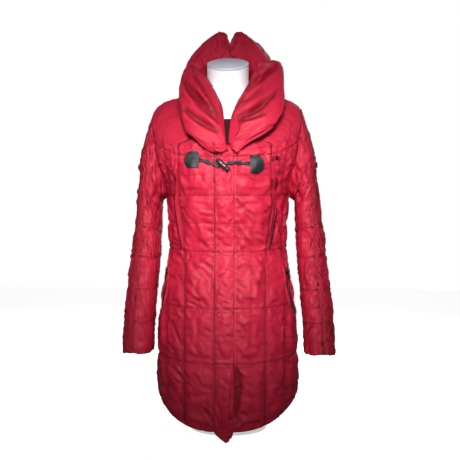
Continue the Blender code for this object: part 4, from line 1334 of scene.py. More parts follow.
@dataclass
class CoatBody:
    """The seven quilted panels of the body."""

    fill: DownFill
    flap_edge: float = 0.0244  # where the right front ends beside the storm flap
    under_flap: float = -0.016  # where the left front ends under it
    flap_line: float = 0.0264  # where the left front comes out from under it
    top_stitch: float = 0.0045  # between a seam and the stitching beside it
    puff: float = 0.012
    side_share: float = 0.8
    bay_lengths: tuple[float, ...] = (*MIDDLE_BAYS, 0.115)

    def panel(self, name: str, seams: Sequence[Edge], columns: Sequence[int], sign: int, puff: float) -> None:
        """Cuts one panel.

        Args:
            name: Its solid's name.
            seams: Its seams' turns by level, from its right edge to its left.
            columns: How many cells lie between them.
            sign: 1 as given, -1 mirrored to the wearer's right.
            puff: How far its bays may rise.
        """
        levels, shares = bay_rows(TORSO.quilting, self.bay_lengths)
        turns, sewn, across, threads = [], [], [], []
        for k, (left, right, count) in enumerate(zip(seams, seams[1:], columns)):
            low, high = left(levels), right(levels)
            width = np.linalg.norm((TORSO.inside(high, levels) - TORSO.inside(low, levels))[:, :2], axis=1)
            margin = np.minimum(self.top_stitch / np.maximum(width, 1e-3), 0.2)
            last = k == len(columns) - 1
            for j in range(count + (1 if last else 0)):
                if j == 0:
                    share = np.zeros_like(levels)
                elif j == count:
                    share = np.ones_like(levels)
                else:
                    share = margin + (1 - 2 * margin) * (j - 1) / (count - 2)
                turns.append(low + (high - low) * share)
                sewn.append(1.0 if j in (0, 1, count - 1, count) else 0.0)
                threads.append(j in (1, count - 1))
                across.append(share)
        turn = sign * np.array(turns).T
        level = np.repeat(levels[:, None], turn.shape[1], axis=1)
        out = way_out(TORSO.inside, turn, level)
        rise = swell(shares)[:, None] * swell(np.array(across).T)
        points = TORSO.inside(turn, level) + out * (SEAM_WALL + PRESHAPED * puff * rise)[..., None]
        stitched = np.maximum(np.array(sewn)[None, :], (shares == 0.0).astype(float)[:, None])
        threads = np.array(threads)
        if sign < 0:
            points, stitched, threads = points[:, ::-1], stitched[:, ::-1], threads[::-1]
        panel = Panel(f"quilted_{name}", points, stitched, fill=puff, nodes=(name,), columns_sewn=threads)
        panel.rows_sewn = (shares == 0.0) & (levels > 0.0) & (levels < TORSO.neck)
        panel.creases = FRONT_CREASES if name.startswith("front") else ()
        self.fill.add(panel)

    @staticmethod
    def at_x(x: float) -> Edge:
        """An edge that stays so far from the middle of the front."""
        return lambda level: TORSO.front_turn(x, level)

    def build(self) -> None:
        """Cuts all seven."""
        shown, hidden, line = self.at_x(self.flap_edge), self.at_x(self.under_flap), self.at_x(self.flap_line)
        for side in Side:
            name, sign = side.value, side.sign
            if side is Side.RIGHT:
                self.panel(f"front_centre_{name}", (shown, TORSO.princess), (18,), sign, self.puff)
            else:
                self.panel(f"front_centre_{name}", (hidden, line, TORSO.princess), (8, 18), sign, self.puff)
            seams = (TORSO.princess, TORSO.stitch, TORSO.front_side)
            self.panel(f"front_side_{name}", seams, (13, 13), sign, self.puff * self.side_share)
            self.panel(f"back_side_{name}", (TORSO.back_side, TORSO.back_seam), (28,), sign, self.puff)
        seams = (
            TORSO.back_seam,
            lambda level: np.full_like(level, math.pi),
            lambda level: 2 * math.pi - TORSO.back_seam(level),
        )
        self.panel("back_centre", seams, (20, 20), 1, self.puff)


@dataclass
class StormFlap:
    """The placket over the closing, double-stitched where it is sewn, its loose end turned below the hem."""

    fill: DownFill
    half: float = 0.0238
    lift: float = 0.0062
    swelling: float = 0.0015
    top: float = 6.2
    drop: float = 0.023
    columns: int = 14
    width_levels: tuple[float, ...] = (BELOW_HEM, -0.05, 0.0, 0.35)
    widths: tuple[float, ...] = (0.10, 0.66, 0.97, 1.0)  # the share of the half width at those levels
    tip_aside: float = 0.009
    tip_rows: int = 7
    curl: float = 0.010  # how far the loose end turns up on one side and down on the other

    def build(self) -> None:
        """Cuts it, from its point to under the collar."""
        lines = [line for line in TORSO.quilting if line < self.top] + [self.top]
        levels, shares = bay_rows(lines, (*MIDDLE_BAYS, 0.02))
        tip = np.linspace(BELOW_HEM, 0.0, self.tip_rows + 1)[:-1]
        level = np.concatenate((tip, levels))
        share = np.concatenate((np.full(len(tip), 0.3), shares))
        width = np.interp(level, self.width_levels, self.widths)
        x = np.linspace(-1.0, 1.0, self.columns + 1)[None, :] * self.half * width[:, None]
        x = x + np.interp(level, (BELOW_HEM, 0.0), (self.tip_aside, 0.0))[:, None]
        at = np.maximum(level, 0.0)[:, None] * np.ones_like(x)
        turn = TORSO.front_turn(x, at)
        out = way_out(TORSO.inside, turn, at)
        across = np.linspace(0.0, 1.0, self.columns + 1)
        loose = np.clip((0.6 - level) / 0.7, 0, 1)[:, None]
        lift = self.lift + self.swelling * swell(share)[:, None] * swell(across)[None, :]
        lift = lift + self.curl * loose * (0.5 - across)[None, :]
        points = TORSO.inside(turn, at) + out * lift[..., None]
        points[..., 2] += self.drop * np.minimum(level, 0.0)[:, None] / -BELOW_HEM
        stitched = np.zeros(x.shape)
        stitched[:, (0, 1, self.columns)] = 1.0
        stitched[np.isin(level, lines), :] = 1.0
        stitched[: len(tip) + 1, :] = 1.0
        threads = np.zeros(self.columns + 1)
        threads[[1, 3]] = 1.0
        panel = Panel("storm_flap_cloth", points, stitched, fill=0.0045, nodes=("storm_flap",), wall=0.0028)
        panel.rows_sewn, panel.columns_sewn = np.isin(level, lines[1:-1]), threads
        panel.relief, panel.creases = Relief(pucker=0.0010, wrinkle=0.0016, area_each=0.0006), FLAP_CREASES
        self.fill.add(panel)


# ---------------------------------------------------------------- sleeves


@dataclass(frozen=True)
class SleeveForm:
    """One sleeve's surface by turn (0 outside, positive to the front) and stitched line."""

    side: Side
    lines: tuple[tuple[float, ...], ...] = (  # outer x and z, inner x and z, half depth, forward
        (0.184, 0.838, 0.156, 0.622, 0.078, 0.000),
        (0.213, 0.741, 0.179, 0.605, 0.080, 0.003),
        (0.223, 0.649, 0.181, 0.580, 0.075, 0.007),
        (0.233, 0.549, 0.182, 0.526, 0.067, 0.014),
        (0.240, 0.467, 0.184, 0.456, 0.060, 0.023),
        (0.249, 0.380, 0.189, 0.376, 0.056, 0.034),
        (0.256, 0.294, 0.194, 0.294, 0.053, 0.045),
        (0.260, 0.212, 0.196, 0.216, 0.050, 0.055),
    )
    tuck: float = 0.0022
    swing_right: float = 0.002
    swing_left: float = 0.012
    armhole_lines: float = 1.15  # how far down the armhole's edge still shapes the tube
    easing_lines: float = 0.6

    def ring(self, turn: Array, line: Array) -> Array:
        """Shapes the tube without its armhole, on the wearer's left.

        Args:
            turn: Turns.
            line: Stitched lines.

        Returns:
            The points.
        """
        out_x, out_z, in_x, in_z, half_depth, forward = np.moveaxis(spline(self.lines, line), -1, 0)
        swing = self.swing_right if self.side is Side.RIGHT else self.swing_left
        hang = swing * np.clip(line / (len(self.lines) - 1), 0, 1) ** 1.3
        across, around = np.cos(turn), np.sin(turn)
        x = (out_x + in_x) / 2 + hang + (out_x - in_x) / 2 * across
        z = (out_z + in_z) / 2 + (out_z - in_z) / 2 * across
        return np.stack((x, -forward - half_depth * around, z), axis=-1)

    def armhole_level(self, turn: Array) -> Array:
        """The torso's level beside a point of the armhole."""
        middle, reach = (TORSO.armpit + TORSO.shoulder) / 2, (TORSO.shoulder - TORSO.armpit) / 2
        return middle + reach * np.cos(turn)

    def armhole_turn(self, turn: Array) -> Array:
        """The torso's turn beside a point of the armhole."""
        return math.pi / 2 - np.where(np.sin(turn) >= 0, 1.0, -1.0) * TORSO.armhole(self.armhole_level(turn))

    def armhole_point(self, turn: Array) -> Array:
        """Finds the armhole's edge, with the sleeve tucked just inside it.

        Args:
            turn: Turns.

        Returns:
            The points.
        """
        edge = TORSO.inside(self.armhole_turn(turn), self.armhole_level(turn))
        middle = np.array((TORSO.armpit + TORSO.shoulder) / 2)
        return edge + unit(TORSO.inside(np.array(math.pi / 2), middle) - edge) * self.tuck

    def place(self, turn: Array, line: Array) -> Array:
        """Finds the sleeve's inside.

        Args:
            turn: Turns.
            line: Stitched lines.

        Returns:
            The points.
        """
        fade = np.maximum(1.0 - line / self.armhole_lines, 0.0)[..., None] ** 2
        point = self.ring(turn, line)
        point = point + (self.armhole_point(turn) - self.ring(turn, np.zeros_like(line))) * fade
        return point * np.array((self.side.sign, 1.0, 1.0))

    def out(self, turn: Array, line: Array) -> Array:
        """Finds the ways out, which ease into the torso's at the armhole.

        Args:
            turn: Turns.
            line: Stitched lines.

        Returns:
            The ways out.
        """
        beside = way_out(TORSO.inside, self.armhole_turn(turn), self.armhole_level(turn))
        beside = beside * np.array((self.side.sign, 1.0, 1.0))
        own = way_out(self.place, turn, np.maximum(line, 0.02)) * self.side.sign
        near = np.maximum(1.0 - line / self.easing_lines, 0.0)[..., None]
        return unit(own * (1 - near) ** 0.5 + beside * 2.0 * near)

    @staticmethod
    def strip(line: Array) -> Array:
        """The turn of the gathered strip's middle."""
        return math.radians(22) + math.radians(48) * np.clip(line / 2.5, 0, 1)


@dataclass
class Sleeve:
    """Front, back and the gathered strip between them."""

    fill: DownFill
    side: Side
    strip_half: float = 0.009 / 0.055
    strip_gap: float = 0.006
    puff: float = 0.010
    strip_puff: float = 0.003
    gathers: float = 0.0012
    gather_pitch: float = 0.0135
    underarm_flat: float = 0.9
    beside_body: float = 0.0035
    bay_lengths: tuple[float, ...] = (0.105, 0.095, 0.100, 0.085, 0.088, 0.088, 0.084)

    def cut(
        self,
        piece: str,
        first: Edge,
        last: Edge,
        columns: int,
        puff: float,
        body: BVHTree,
        gathers: float = 0.0,
    ) -> None:
        """Cuts one piece between two turns.

        Args:
            piece: Its name without the side.
            first: The turn of its first edge, by line.
            last: The turn of its last edge.
            columns: Its cells across.
            puff: How far its bays may rise.
            body: The body's solids, which it is kept beside.
            gathers: How deep its gathers are.
        """
        form = SleeveForm(self.side)
        lines, shares = bay_rows(tuple(range(len(form.lines))), self.bay_lengths)
        across = np.linspace(0.0, 1.0, columns + 1)
        low, high = first(lines)[:, None], last(lines)[:, None]
        turn = low + (high - low) * across[None, :]
        line = np.repeat(lines[:, None], columns + 1, axis=1)
        out = form.out(turn, line)
        armpit = np.maximum(-np.cos(turn), 0.0) * np.clip(2.0 - line, 0, 1)
        rise = (swell(shares)[:, None] if not gathers else 1.0) * swell(across)[None, :]
        rise = rise * (1.0 - self.underarm_flat * armpit) * np.minimum(line / 0.5, 1.0)
        lift = SEAM_WALL * (1.0 - 0.4 * armpit) + PRESHAPED * puff * rise
        if gathers:
            cut = run_along(form.place(turn, line)[:, columns // 2])
            uneven = 1.3 * np.sin(cut * 41.0)
            wave = np.sin(cut * 2 * math.pi / self.gather_pitch + uneven) * np.minimum(lines / 0.3, 1.0)
            lift = lift + gathers * wave[:, None] * swell(across)[None, :]
        points = form.place(turn, line) + out * lift[..., None]
        sign = self.side.sign
        for place in zip(*np.nonzero((line > 0.0) & (line < 3.0) & (np.cos(turn) < 0.2))):
            x, y, z = points[place]
            hit, _, _, _ = body.ray_cast(Vector((sign * 0.35, y, z)), Vector((-sign, 0.0, 0.0)), 0.25)
            if hit and sign * x < sign * hit.x + self.beside_body:
                points[(*place, 0)] = hit.x + sign * self.beside_body
        stitched = np.full(points.shape[:2], 1.0 if gathers else 0.0)
        stitched[:, (0, -1)] = 1.0
        stitched[shares == 0.0, :] = 1.0
        if sign > 0:
            points, stitched = points[:, ::-1], stitched[:, ::-1]
        edges = np.zeros(columns + 1)
        edges[[1, -2]] = 1.0
        name = f"{piece}_{self.side.value}"
        panel = Panel(f"quilted_{name}", points, stitched, fill=puff, nodes=(name,), columns_sewn=edges)
        panel.rows_sewn = (shares == 0.0) & (lines > 0.0) & (not gathers)
        panel.relief = Relief(pucker=0.0020, slant=0.75, wrinkle=0.0028, area_each=0.0008)
        self.fill.add(panel)

    @staticmethod
    def beside_strip(aside: float) -> Edge:
        """An edge that runs so far from the strip's middle."""
        return lambda line: SleeveForm.strip(line) + aside

    @staticmethod
    def straight(turn: float) -> Edge:
        """An edge that keeps to one turn."""
        return lambda line: np.full_like(line, turn)

    def build(self, body: BVHTree) -> None:
        """Cuts the three pieces.

        Args:
            body: The body's solids.
        """
        half, gap = self.strip_half, self.strip_gap
        under = math.pi - gap / 2
        self.cut("sleeve_front", self.beside_strip(half + gap), self.straight(under), 20, self.puff, body)
        self.cut("sleeve_back", self.straight(-under), self.beside_strip(-half - gap), 44, self.puff, body)
        edges = self.beside_strip(-half), self.beside_strip(half)
        self.cut("sleeve_strip", *edges, 6, self.strip_puff, body, self.gathers)


# ---------------------------------------------------------------- collar and hood


@dataclass(frozen=True)
class LapelSection:
    """One section of a lapel: its inner and outer edge, its place round the neckline and how plump it is."""

    inner: Triple
    outer: Triple
    turn: float
    plump: float


@dataclass
class Collar:
    """The two lapels, each a broad soft face that runs down to the foot of the V."""

    fill: DownFill
    profile: tuple[tuple[float, float], ...] = (  # shares of the way across the face and of its height
        (0.10, 0.72),
        (0.28, 0.98),
        (0.50, 0.90),
        (0.72, 0.92),
        (0.90, 0.62),
    )
    points_round: int = 60
    rows: int = 84
    gap: float = 0.0035
    sinking: float = 0.030
    below_neck: float = 0.1
    seam_lift: float = 0.007
    hollow: float = 0.3
    sections: dict[Side, tuple[LapelSection, ...]] = field(
        default_factory=lambda: {
            Side.RIGHT: (
                LapelSection((0.010, -0.158, 0.728), (-0.006, -0.161, 0.716), 4, 0.006),
                LapelSection((0.005, -0.152, 0.746), (-0.045, -0.160, 0.728), 12, 0.012),
                LapelSection((-0.001, -0.130, 0.792), (-0.086, -0.150, 0.766), 26, 0.020),
                LapelSection((-0.008, -0.110, 0.833), (-0.106, -0.125, 0.806), 42, 0.025),
                LapelSection((-0.022, -0.090, 0.864), (-0.117, -0.090, 0.846), 56, 0.027),
                LapelSection((-0.043, -0.055, 0.903), (-0.120, -0.048, 0.888), 76, 0.024),
                LapelSection((-0.062, -0.020, 0.932), (-0.116, -0.005, 0.934), 96, 0.018),
                LapelSection((-0.082, 0.014, 0.950), (-0.101, 0.020, 0.958), 108, 0.005),
            ),
            Side.LEFT: (
                LapelSection((0.018, -0.158, 0.730), (0.030, -0.161, 0.718), 8, 0.006),
                LapelSection((0.010, -0.152, 0.748), (0.064, -0.158, 0.744), 14, 0.012),
                LapelSection((0.012, -0.128, 0.786), (0.112, -0.146, 0.774), 28, 0.020),
                LapelSection((0.019, -0.108, 0.820), (0.136, -0.122, 0.808), 43, 0.025),
                LapelSection((0.031, -0.086, 0.850), (0.146, -0.084, 0.848), 57, 0.028),
                LapelSection((0.055, -0.050, 0.900), (0.144, -0.044, 0.894), 76, 0.026),
                LapelSection((0.074, -0.014, 0.936), (0.136, -0.003, 0.948), 96, 0.020),
                LapelSection((0.090, 0.016, 0.954), (0.110, 0.022, 0.966), 108, 0.005),
            ),
        }
    )

    def build(self, shoulders: BVHTree) -> None:
        """Shapes both lapels clear of the shoulders.

        Args:
            shoulders: The solids that they lie on.
        """
        for side in Side:
            rows = self.sections[side]
            place = np.linspace(0.0, len(rows) - 1, self.rows)
            near, far = spline([r.inner for r in rows], place), spline([r.outer for r in rows], place)
            turn = np.radians(spline([[r.turn] for r in rows], place)[:, 0])
            full = spline([[r.plump] for r in rows], place)
            level = np.full_like(turn, TORSO.neck - self.below_neck)
            seam = TORSO.lifted(side.sign * turn, level, np.full_like(turn, self.seam_lift))
            one = np.ones_like(turn)
            face = unit(np.stack((0.25 * side.sign * one, -np.cos(turn) - 0.35, 0.55 * one), -1))
            rising = [near + (far - near) * across + face * full * high for across, high in self.profile]
            back = (far + seam) / 2 - face * self.hollow * full
            corners = np.stack((near, *rising, far, back, seam), axis=1)
            loops = pushed_out(shoulders, closed_curve(corners, self.points_round), self.gap, self.sinking)
            if side is Side.RIGHT:
                loops = loops[:, ::-1]
            sewn_on = round(self.points_round * (corners.shape[1] - 1) / corners.shape[1])
            stitched = np.zeros(loops.shape[:2])
            stitched[:, sewn_on if side is Side.LEFT else self.points_round - 1 - sewn_on] = 1.0
            stitched[(0, -1), :] = 1.0
            loops = np.concatenate((loops, loops[:, :1]), axis=1)
            stitched = np.concatenate((stitched, stitched[:, :1]), axis=1)
            panel = Panel(f"rolled_collar_{side.value}", loops, stitched, fill=0.0045, wrap=True, ends=True)
            panel.nodes, panel.creases = (f"collar_{side.value}",), COLLAR_CREASES
            panel.relief = Relief(wrinkle=0.0020, area_each=0.0022, slant=0.6)
            self.fill.add(panel)


@dataclass
class Hood:
    """The two lobes of the hood behind the neck, with a deep seam between them."""

    fill: DownFill
    sections: tuple[tuple[float, ...], ...] = (  # turn, then r and z of foot, rim, crown, fall and low edge
        (109, 0.082, 0.902, 0.080, 0.938, 0.106, 0.966, 0.126, 0.930, 0.130, 0.900),
        (125, 0.088, 0.900, 0.076, 0.953, 0.110, 1.005, 0.146, 0.948, 0.150, 0.900),
        (142, 0.093, 0.898, 0.074, 0.965, 0.110, 1.038, 0.168, 0.945, 0.172, 0.876),
        (160, 0.096, 0.897, 0.074, 0.972, 0.112, 1.060, 0.186, 0.938, 0.190, 0.824),
        (173, 0.097, 0.897, 0.074, 0.972, 0.110, 1.057, 0.190, 0.926, 0.192, 0.800),
        (179.7, 0.097, 0.897, 0.072, 0.962, 0.102, 1.026, 0.184, 0.914, 0.190, 0.786),
    )
    wall: float = 0.020
    wall_share: float = 0.42  # the most of the hood's depth that a wall takes
    points_round: int = 84
    rows: int = 36
    gap: float = 0.006

    def build(self, shoulders: BVHTree) -> None:
        """Shapes both halves clear of the shoulders.

        Args:
            shoulders: The solids that they lie on.
        """
        place = np.linspace(0.0, len(self.sections) - 1, self.rows)
        rows = spline(self.sections, place)
        turn = np.radians(rows[:, 0])
        foot_r, foot_z, rim_r, rim_z, crown_r, crown_z, fall_r, fall_z, low_r, low_z = rows[:, 1:].T
        thick = np.minimum(self.wall, self.wall_share * (fall_r - foot_r))
        corners = (
            (foot_r, foot_z),
            (rim_r, rim_z),
            ((rim_r + crown_r) / 2 - 0.006, (rim_z + crown_z) / 2 + 0.012),
            (crown_r, crown_z),
            (crown_r + 0.72 * (fall_r - crown_r), crown_z - 0.25 * (crown_z - fall_z)),
            (fall_r, fall_z),
            (low_r, low_z),
            (low_r - thick, low_z + 0.002),
            (fall_r - thick, fall_z),
            (foot_r + thick, foot_z + 0.30 * (crown_z - foot_z)),
            (foot_r + 0.8 * thick, foot_z + 0.002),
        )
        outline = np.stack([np.stack(corner, -1) for corner in corners], axis=1)
        away, height = np.moveaxis(closed_curve(outline, self.points_round), -1, 0)
        for side in Side:
            x, y = side.sign * np.sin(turn)[:, None], -np.cos(turn)[:, None]
            points = pushed_out(shoulders, np.stack((away * x, away * y, height), axis=-1), self.gap)
            stitched = np.zeros(points.shape[:2])
            stitched[(0, -1), :] = 1.0
            lines = [round(self.points_round * corner / len(corners)) for corner in (0, 6, 7)]
            if side is Side.LEFT:
                points = points[:, ::-1]
                lines = [self.points_round - 1 - line for line in lines]
            stitched[:, lines] = 1.0
            middle_seam = np.zeros(len(points))
            middle_seam[-1] = 1.0
            points = np.concatenate((points, points[:, :1]), axis=1)
            stitched = np.concatenate((stitched, stitched[:, :1]), axis=1)
            panel = Panel(f"hood_half_{side.value}", points, stitched, fill=0.006, wrap=True, ends=True)
            panel.nodes, panel.creases, panel.rows_sewn = (f"hood_{side.value}",), HOOD_CREASES, middle_seam
            panel.relief = Relief(pucker=0.0032, reach=0.030, spacing=0.0085, wrinkle=0.0036, slant=0.9)
            self.fill.add(panel)


# ---------------------------------------------------------------- the dress form


@dataclass
class DressForm:
    """The white form: torso and neck in one, the tilted cap, the post and the round plate."""

    points_round: int = 96
    clear: float = 0.024
    seat: float = 0.0004
    foot_level: float = 0.95
    # Half width, half depth, height and y of the neck's rings.
    base: tuple[float, float, float, float] = (0.062, 0.058, 0.876, 0.004)
    middle: tuple[float, float, float, float] = (0.054, 0.052, 0.915, 0.000)
    top: tuple[float, float, float, float] = (0.0545, 0.0525, 0.955, -0.002)
    base_tilt: float = -0.15
    cap_tilt: float = 0.40
    cap_profile: tuple[tuple[float, float], ...] = (  # heights over the neck and shares of its top
        (0.0004, 0.90),
        (0.0006, 0.985),
        (0.0016, 1.0),
        (0.0048, 1.0),
        (0.0062, 0.992),
        (0.0066, 0.975),
        (0.0062, 0.955),
        (0.0066, 0.93),
    )
    stand_back: float = 0.018
    plate_radius: float = 0.100
    plate_thick: float = 0.008
    post_radius: float = 0.016
    flange_radius: float = 0.030
    play: float = 0.0003  # what is left between the post and what it stands between

    def round_turns(self) -> Array:
        """The turns of the points of a ring."""
        return np.linspace(0, 2 * math.pi, self.points_round, endpoint=False)

    def neck_ring(self, size: tuple[float, float, float, float], tilt: float) -> Array:
        """Draws a tilted oval round the neck.

        Args:
            size: Its half width, half depth, height and y.
            tilt: How far it rises to the back, as a slope.

        Returns:
            Its points.
        """
        half_width, half_depth, height, y = size
        turn = self.round_turns()
        depth = half_depth * np.cos(turn)
        return np.stack((half_width * np.sin(turn), y - depth, height - tilt * depth), -1)

    def body_rings(self) -> Array:
        """Draws torso and neck.

        Returns:
            Their rings.
        """
        turn = self.round_turns()
        rings = []
        for level in np.linspace(self.foot_level, TORSO.neck, 16):
            on_top = min(max(level - 6.6, 0.0), 1.0) * np.abs(np.sin(turn)) ** 6
            clear = self.clear + (self.seat - self.clear) * on_top
            rings.append(TORSO.lifted(turn, np.full_like(turn, level), -clear))
        rings[0][:, 2] = rings[0][0, 2]
        base = self.neck_ring(self.base, self.base_tilt)
        rings.append(rings[-1] + (base - rings[-1]) * 0.55)
        rings.append(base)
        rings.append(self.neck_ring(self.middle, self.cap_tilt / 2))
        rings.append(self.neck_ring(self.top, self.cap_tilt))
        return np.array(rings)

    def spun(self, name: str, profile: Sequence[tuple[float, float]], node: str) -> None:
        """Turns a profile about the post's axis.

        Args:
            name: The piece's name.
            profile: Its radii and heights.
            node: The solid it stands for.
        """
        bm = bmesh.new()
        verts = [bm.verts.new((r, self.stand_back, z)) for r, z in profile]
        line = verts + [bm.edges.new(pair) for pair in zip(verts, verts[1:])]
        centre = (0, self.stand_back, 0)
        bmesh.ops.spin(
            bm, geom=line, cent=centre, axis=(0, 0, 1), angle=2 * math.pi, steps=72, use_merge=True
        )
        bmesh.ops.remove_doubles(bm, verts=bm.verts, dist=MERGE)
        bmesh.ops.recalc_face_normals(bm, faces=bm.faces)
        finish_piece(name, bm, COATING, node).data.set_sharp_from_angle(angle=math.radians(35))

    def build(self) -> None:
        """Builds all four parts."""
        rings = self.body_rings()
        form = finish_piece("white_form", lofted(rings), JERSEY, "form_torso")
        form.data.set_sharp_from_angle(angle=math.radians(50))
        lean = np.array((0.0, -self.cap_tilt, 1.0)) / math.hypot(1.0, self.cap_tilt)
        top = rings[-1]
        centre = top.mean(axis=0)
        cap_rings = [centre + (top - centre) * share + lean * lift for lift, share in self.cap_profile]
        cap = finish_piece("neck_cap", lofted(np.array(cap_rings)), CAP, "form_cap")
        cap.data.set_sharp_from_angle(angle=math.radians(50))
        t, r = self.plate_thick, self.plate_radius
        foot = ((0, 0), (r - 0.001, 0), (r, 0.001))
        face = ((r, t - 0.003), (r - 0.0009, t - 0.0009), (r - 0.003, t), (0, t))
        self.spun("foot_plate", foot + face, "stand_plate")
        low, high = t + self.play, float(rings[0][0, 2]) - self.play
        r, wide = self.post_radius, self.flange_radius
        post = (
            (0, low),
            (wide, low),
            (wide, low + 0.009),
            (wide - 0.001, low + 0.0105),
            (r + 0.005, low + 0.027),
            (r + 0.0005, low + 0.031),
            (r, low + 0.033),
            (r, high),
            (0, high),
        )
        self.spun("form_post", post, "stand_post")


# ---------------------------------------------------------------- trims


@dataclass
class VFootStrip:
    """A very dark wine strip behind the foot of the V."""

    half: float = 0.015
    long: float = 0.092
    columns: int = 9
    bow: float = 0.004
    line: tuple[Triple, ...] = (
        (0.006, -0.1365, 0.722),
        (0.006, -0.1290, 0.750),
        (0.005, -0.1160, 0.780),
        (0.005, -0.1060, 0.808),
    )

    def build(self) -> None:
        """Makes it."""
        centre = spline(self.line, np.linspace(0.0, len(self.line) - 1, 30))
        across = np.linspace(-1.0, 1.0, self.columns)
        points = np.repeat(centre[:, None], self.columns, axis=1)
        points[..., 0] += across[None, :] * self.half
        points[..., 1] += self.bow * across[None, :] ** 2
        panel = Panel("inner_placket", points, np.ones(points.shape[:2]), wall=0.0024)
        panel.relief = Relief(wrinkle=0.0006)
        piece = panel.finish(panel.mesh(), LINING_AND_PAINTED_SHADOW, 7)


@dataclass
class Strap:
    """A narrow self-fabric strap, stitched along both edges, which stands off where it isn't caught."""

    side: Side
    half: float = 0.0065
    thick: float = 0.0021
    top: float = 5.75
    foot: float = 3.02
    gap: float = 0.0008
    stations: int = 90
    columns: int = 8
    # From the top: how far the inner and the outer edge stand off, and how far it slips sideways.
    stand_off: dict[Side, tuple[Triple, ...]] = field(
        default_factory=lambda: {
            Side.RIGHT: (
                (0.0010, 0.0010, 0.0),
                (0.0010, 0.0020, 0.0),
                (0.0008, 0.0010, 0.0),
                (0.0008, 0.0008, 0.0005),
                (0.0010, 0.0052, 0.0010),
                (0.0006, 0.0008, 0.0005),
                (0.0008, 0.0034, 0.0),
                (0.0010, 0.0060, -0.0008),
                (0.0012, 0.0068, -0.0012),
                (0.0010, 0.0050, -0.0008),
                (0.0006, 0.0008, 0.0),
            ),
            Side.LEFT: (
                (0.0070, 0.0012, 0.0020),
                (0.0078, 0.0012, 0.0024),
                (0.0020, 0.0010, 0.0010),
                (0.0008, 0.0008, 0.0),
                (0.0012, 0.0010, 0.0),
                (0.0054, 0.0010, 0.0008),
                (0.0020, 0.0010, 0.0),
                (0.0060, 0.0012, 0.0012),
                (0.0080, 0.0012, 0.0020),
                (0.0064, 0.0010, 0.0012),
                (0.0010, 0.0008, 0.0),
            ),
        }
    )
    # Each painted shadow, a dark tube below a lifted edge: its start and end, how far across it lies, and its
    # half width.
    painted_shadows: dict[Side, tuple[tuple[float, float, float, float], ...]] = field(
        default_factory=lambda: {
            Side.RIGHT: ((0.63, 1.0, 1.1, 0.0019), (0.43, 0.51, 0.7, 0.0016)),
            Side.LEFT: ((0.0, 0.17, 1.0, 0.0034), (0.45, 0.60, 1.1, 0.0016), (0.73, 1.0, 0.9, 0.0022)),
        }
    )

    def shadows(self, middle: Array, across: Array, out: Array) -> None:
        """Makes the painted shadows: dark tubes of lining colour under the strap's lifted edges.

        Args:
            middle: The strap's middle line.
            across: The way across it at each point.
            out: The way out at each point.
        """
        for number, (start, end, aside, wide) in enumerate(self.painted_shadows[self.side]):
            at = np.linspace(start, end, 16) * (self.stations - 1)
            path = spline(middle, at) + spline(across, at) * (aside * self.half)
            path = path + spline(out, at) * (0.6 * wide + 0.0004)
            radii = wide * np.sin(np.linspace(0.12, math.pi - 0.12, 16)) ** 0.6
            shadow = lofted(rings_along(path, radii, 12))
            # painted shadow: a dark tube that stands in for the shade under the strap's edge
            finish_piece(f"strap_opening_{self.side.value}_{number}", shadow, LINING_AND_PAINTED_SHADOW)

    def build(self, cloth: BVHTree) -> None:
        """Lays it on the filled panels.

        Args:
            cloth: The front's filled panels.
        """
        name = self.side.value
        level = np.linspace(self.top, self.foot, self.stations)
        turn = self.side.sign * TORSO.princess(level)
        centre, out = TORSO.lifted(turn, level, SEAM_WALL), way_out(TORSO.inside, turn, level)
        across = unit(np.cross(np.gradient(centre, axis=0), out)) * self.side.sign
        across *= np.sign(across[:, :1]) * self.side.sign
        rows = self.stand_off[self.side]
        inner, outer, slip = spline(rows, np.linspace(0.0, len(rows) - 1, self.stations)).T
        share = np.linspace(0.0, 1.0, self.columns + 1)
        points = np.zeros((self.stations, self.columns + 1, 3))
        for i in range(self.stations):
            flats = [centre[i] + across[i] * ((2 * at - 1) * self.half + slip[i]) for at in share]
            bed = max(height_on(cloth, Vector(flat), Vector(out[i])) for flat in flats)
            for j, (at, flat) in enumerate(zip(share, flats)):
                points[i, j] = flat + out[i] * (bed + self.gap + inner[i] + (outer[i] - inner[i]) * at)
        for _ in range(3):
            wide = np.concatenate((points[:1], points, points[-1:]))
            points = (wide[:-2] + 2 * wide[1:-1] + wide[2:]) / 4
        if self.side is Side.RIGHT:
            points = points[:, ::-1]
        self.shadows(points.mean(axis=1), across, out)
        threads = np.zeros(self.columns + 1)
        threads[[1, -2]] = 1.0
        panel = Panel(f"princess_strap_{name}", points[::-1], np.ones(points.shape[:2]), wall=self.thick)
        panel.nodes, panel.columns_sewn = (f"strap_{name}",), threads
        panel.relief = Relief(groove=0.0003, pucker=0.0004, wrinkle=0.0004)
        piece = panel.finish(panel.mesh(), SHELL, 300 + self.side.sign)


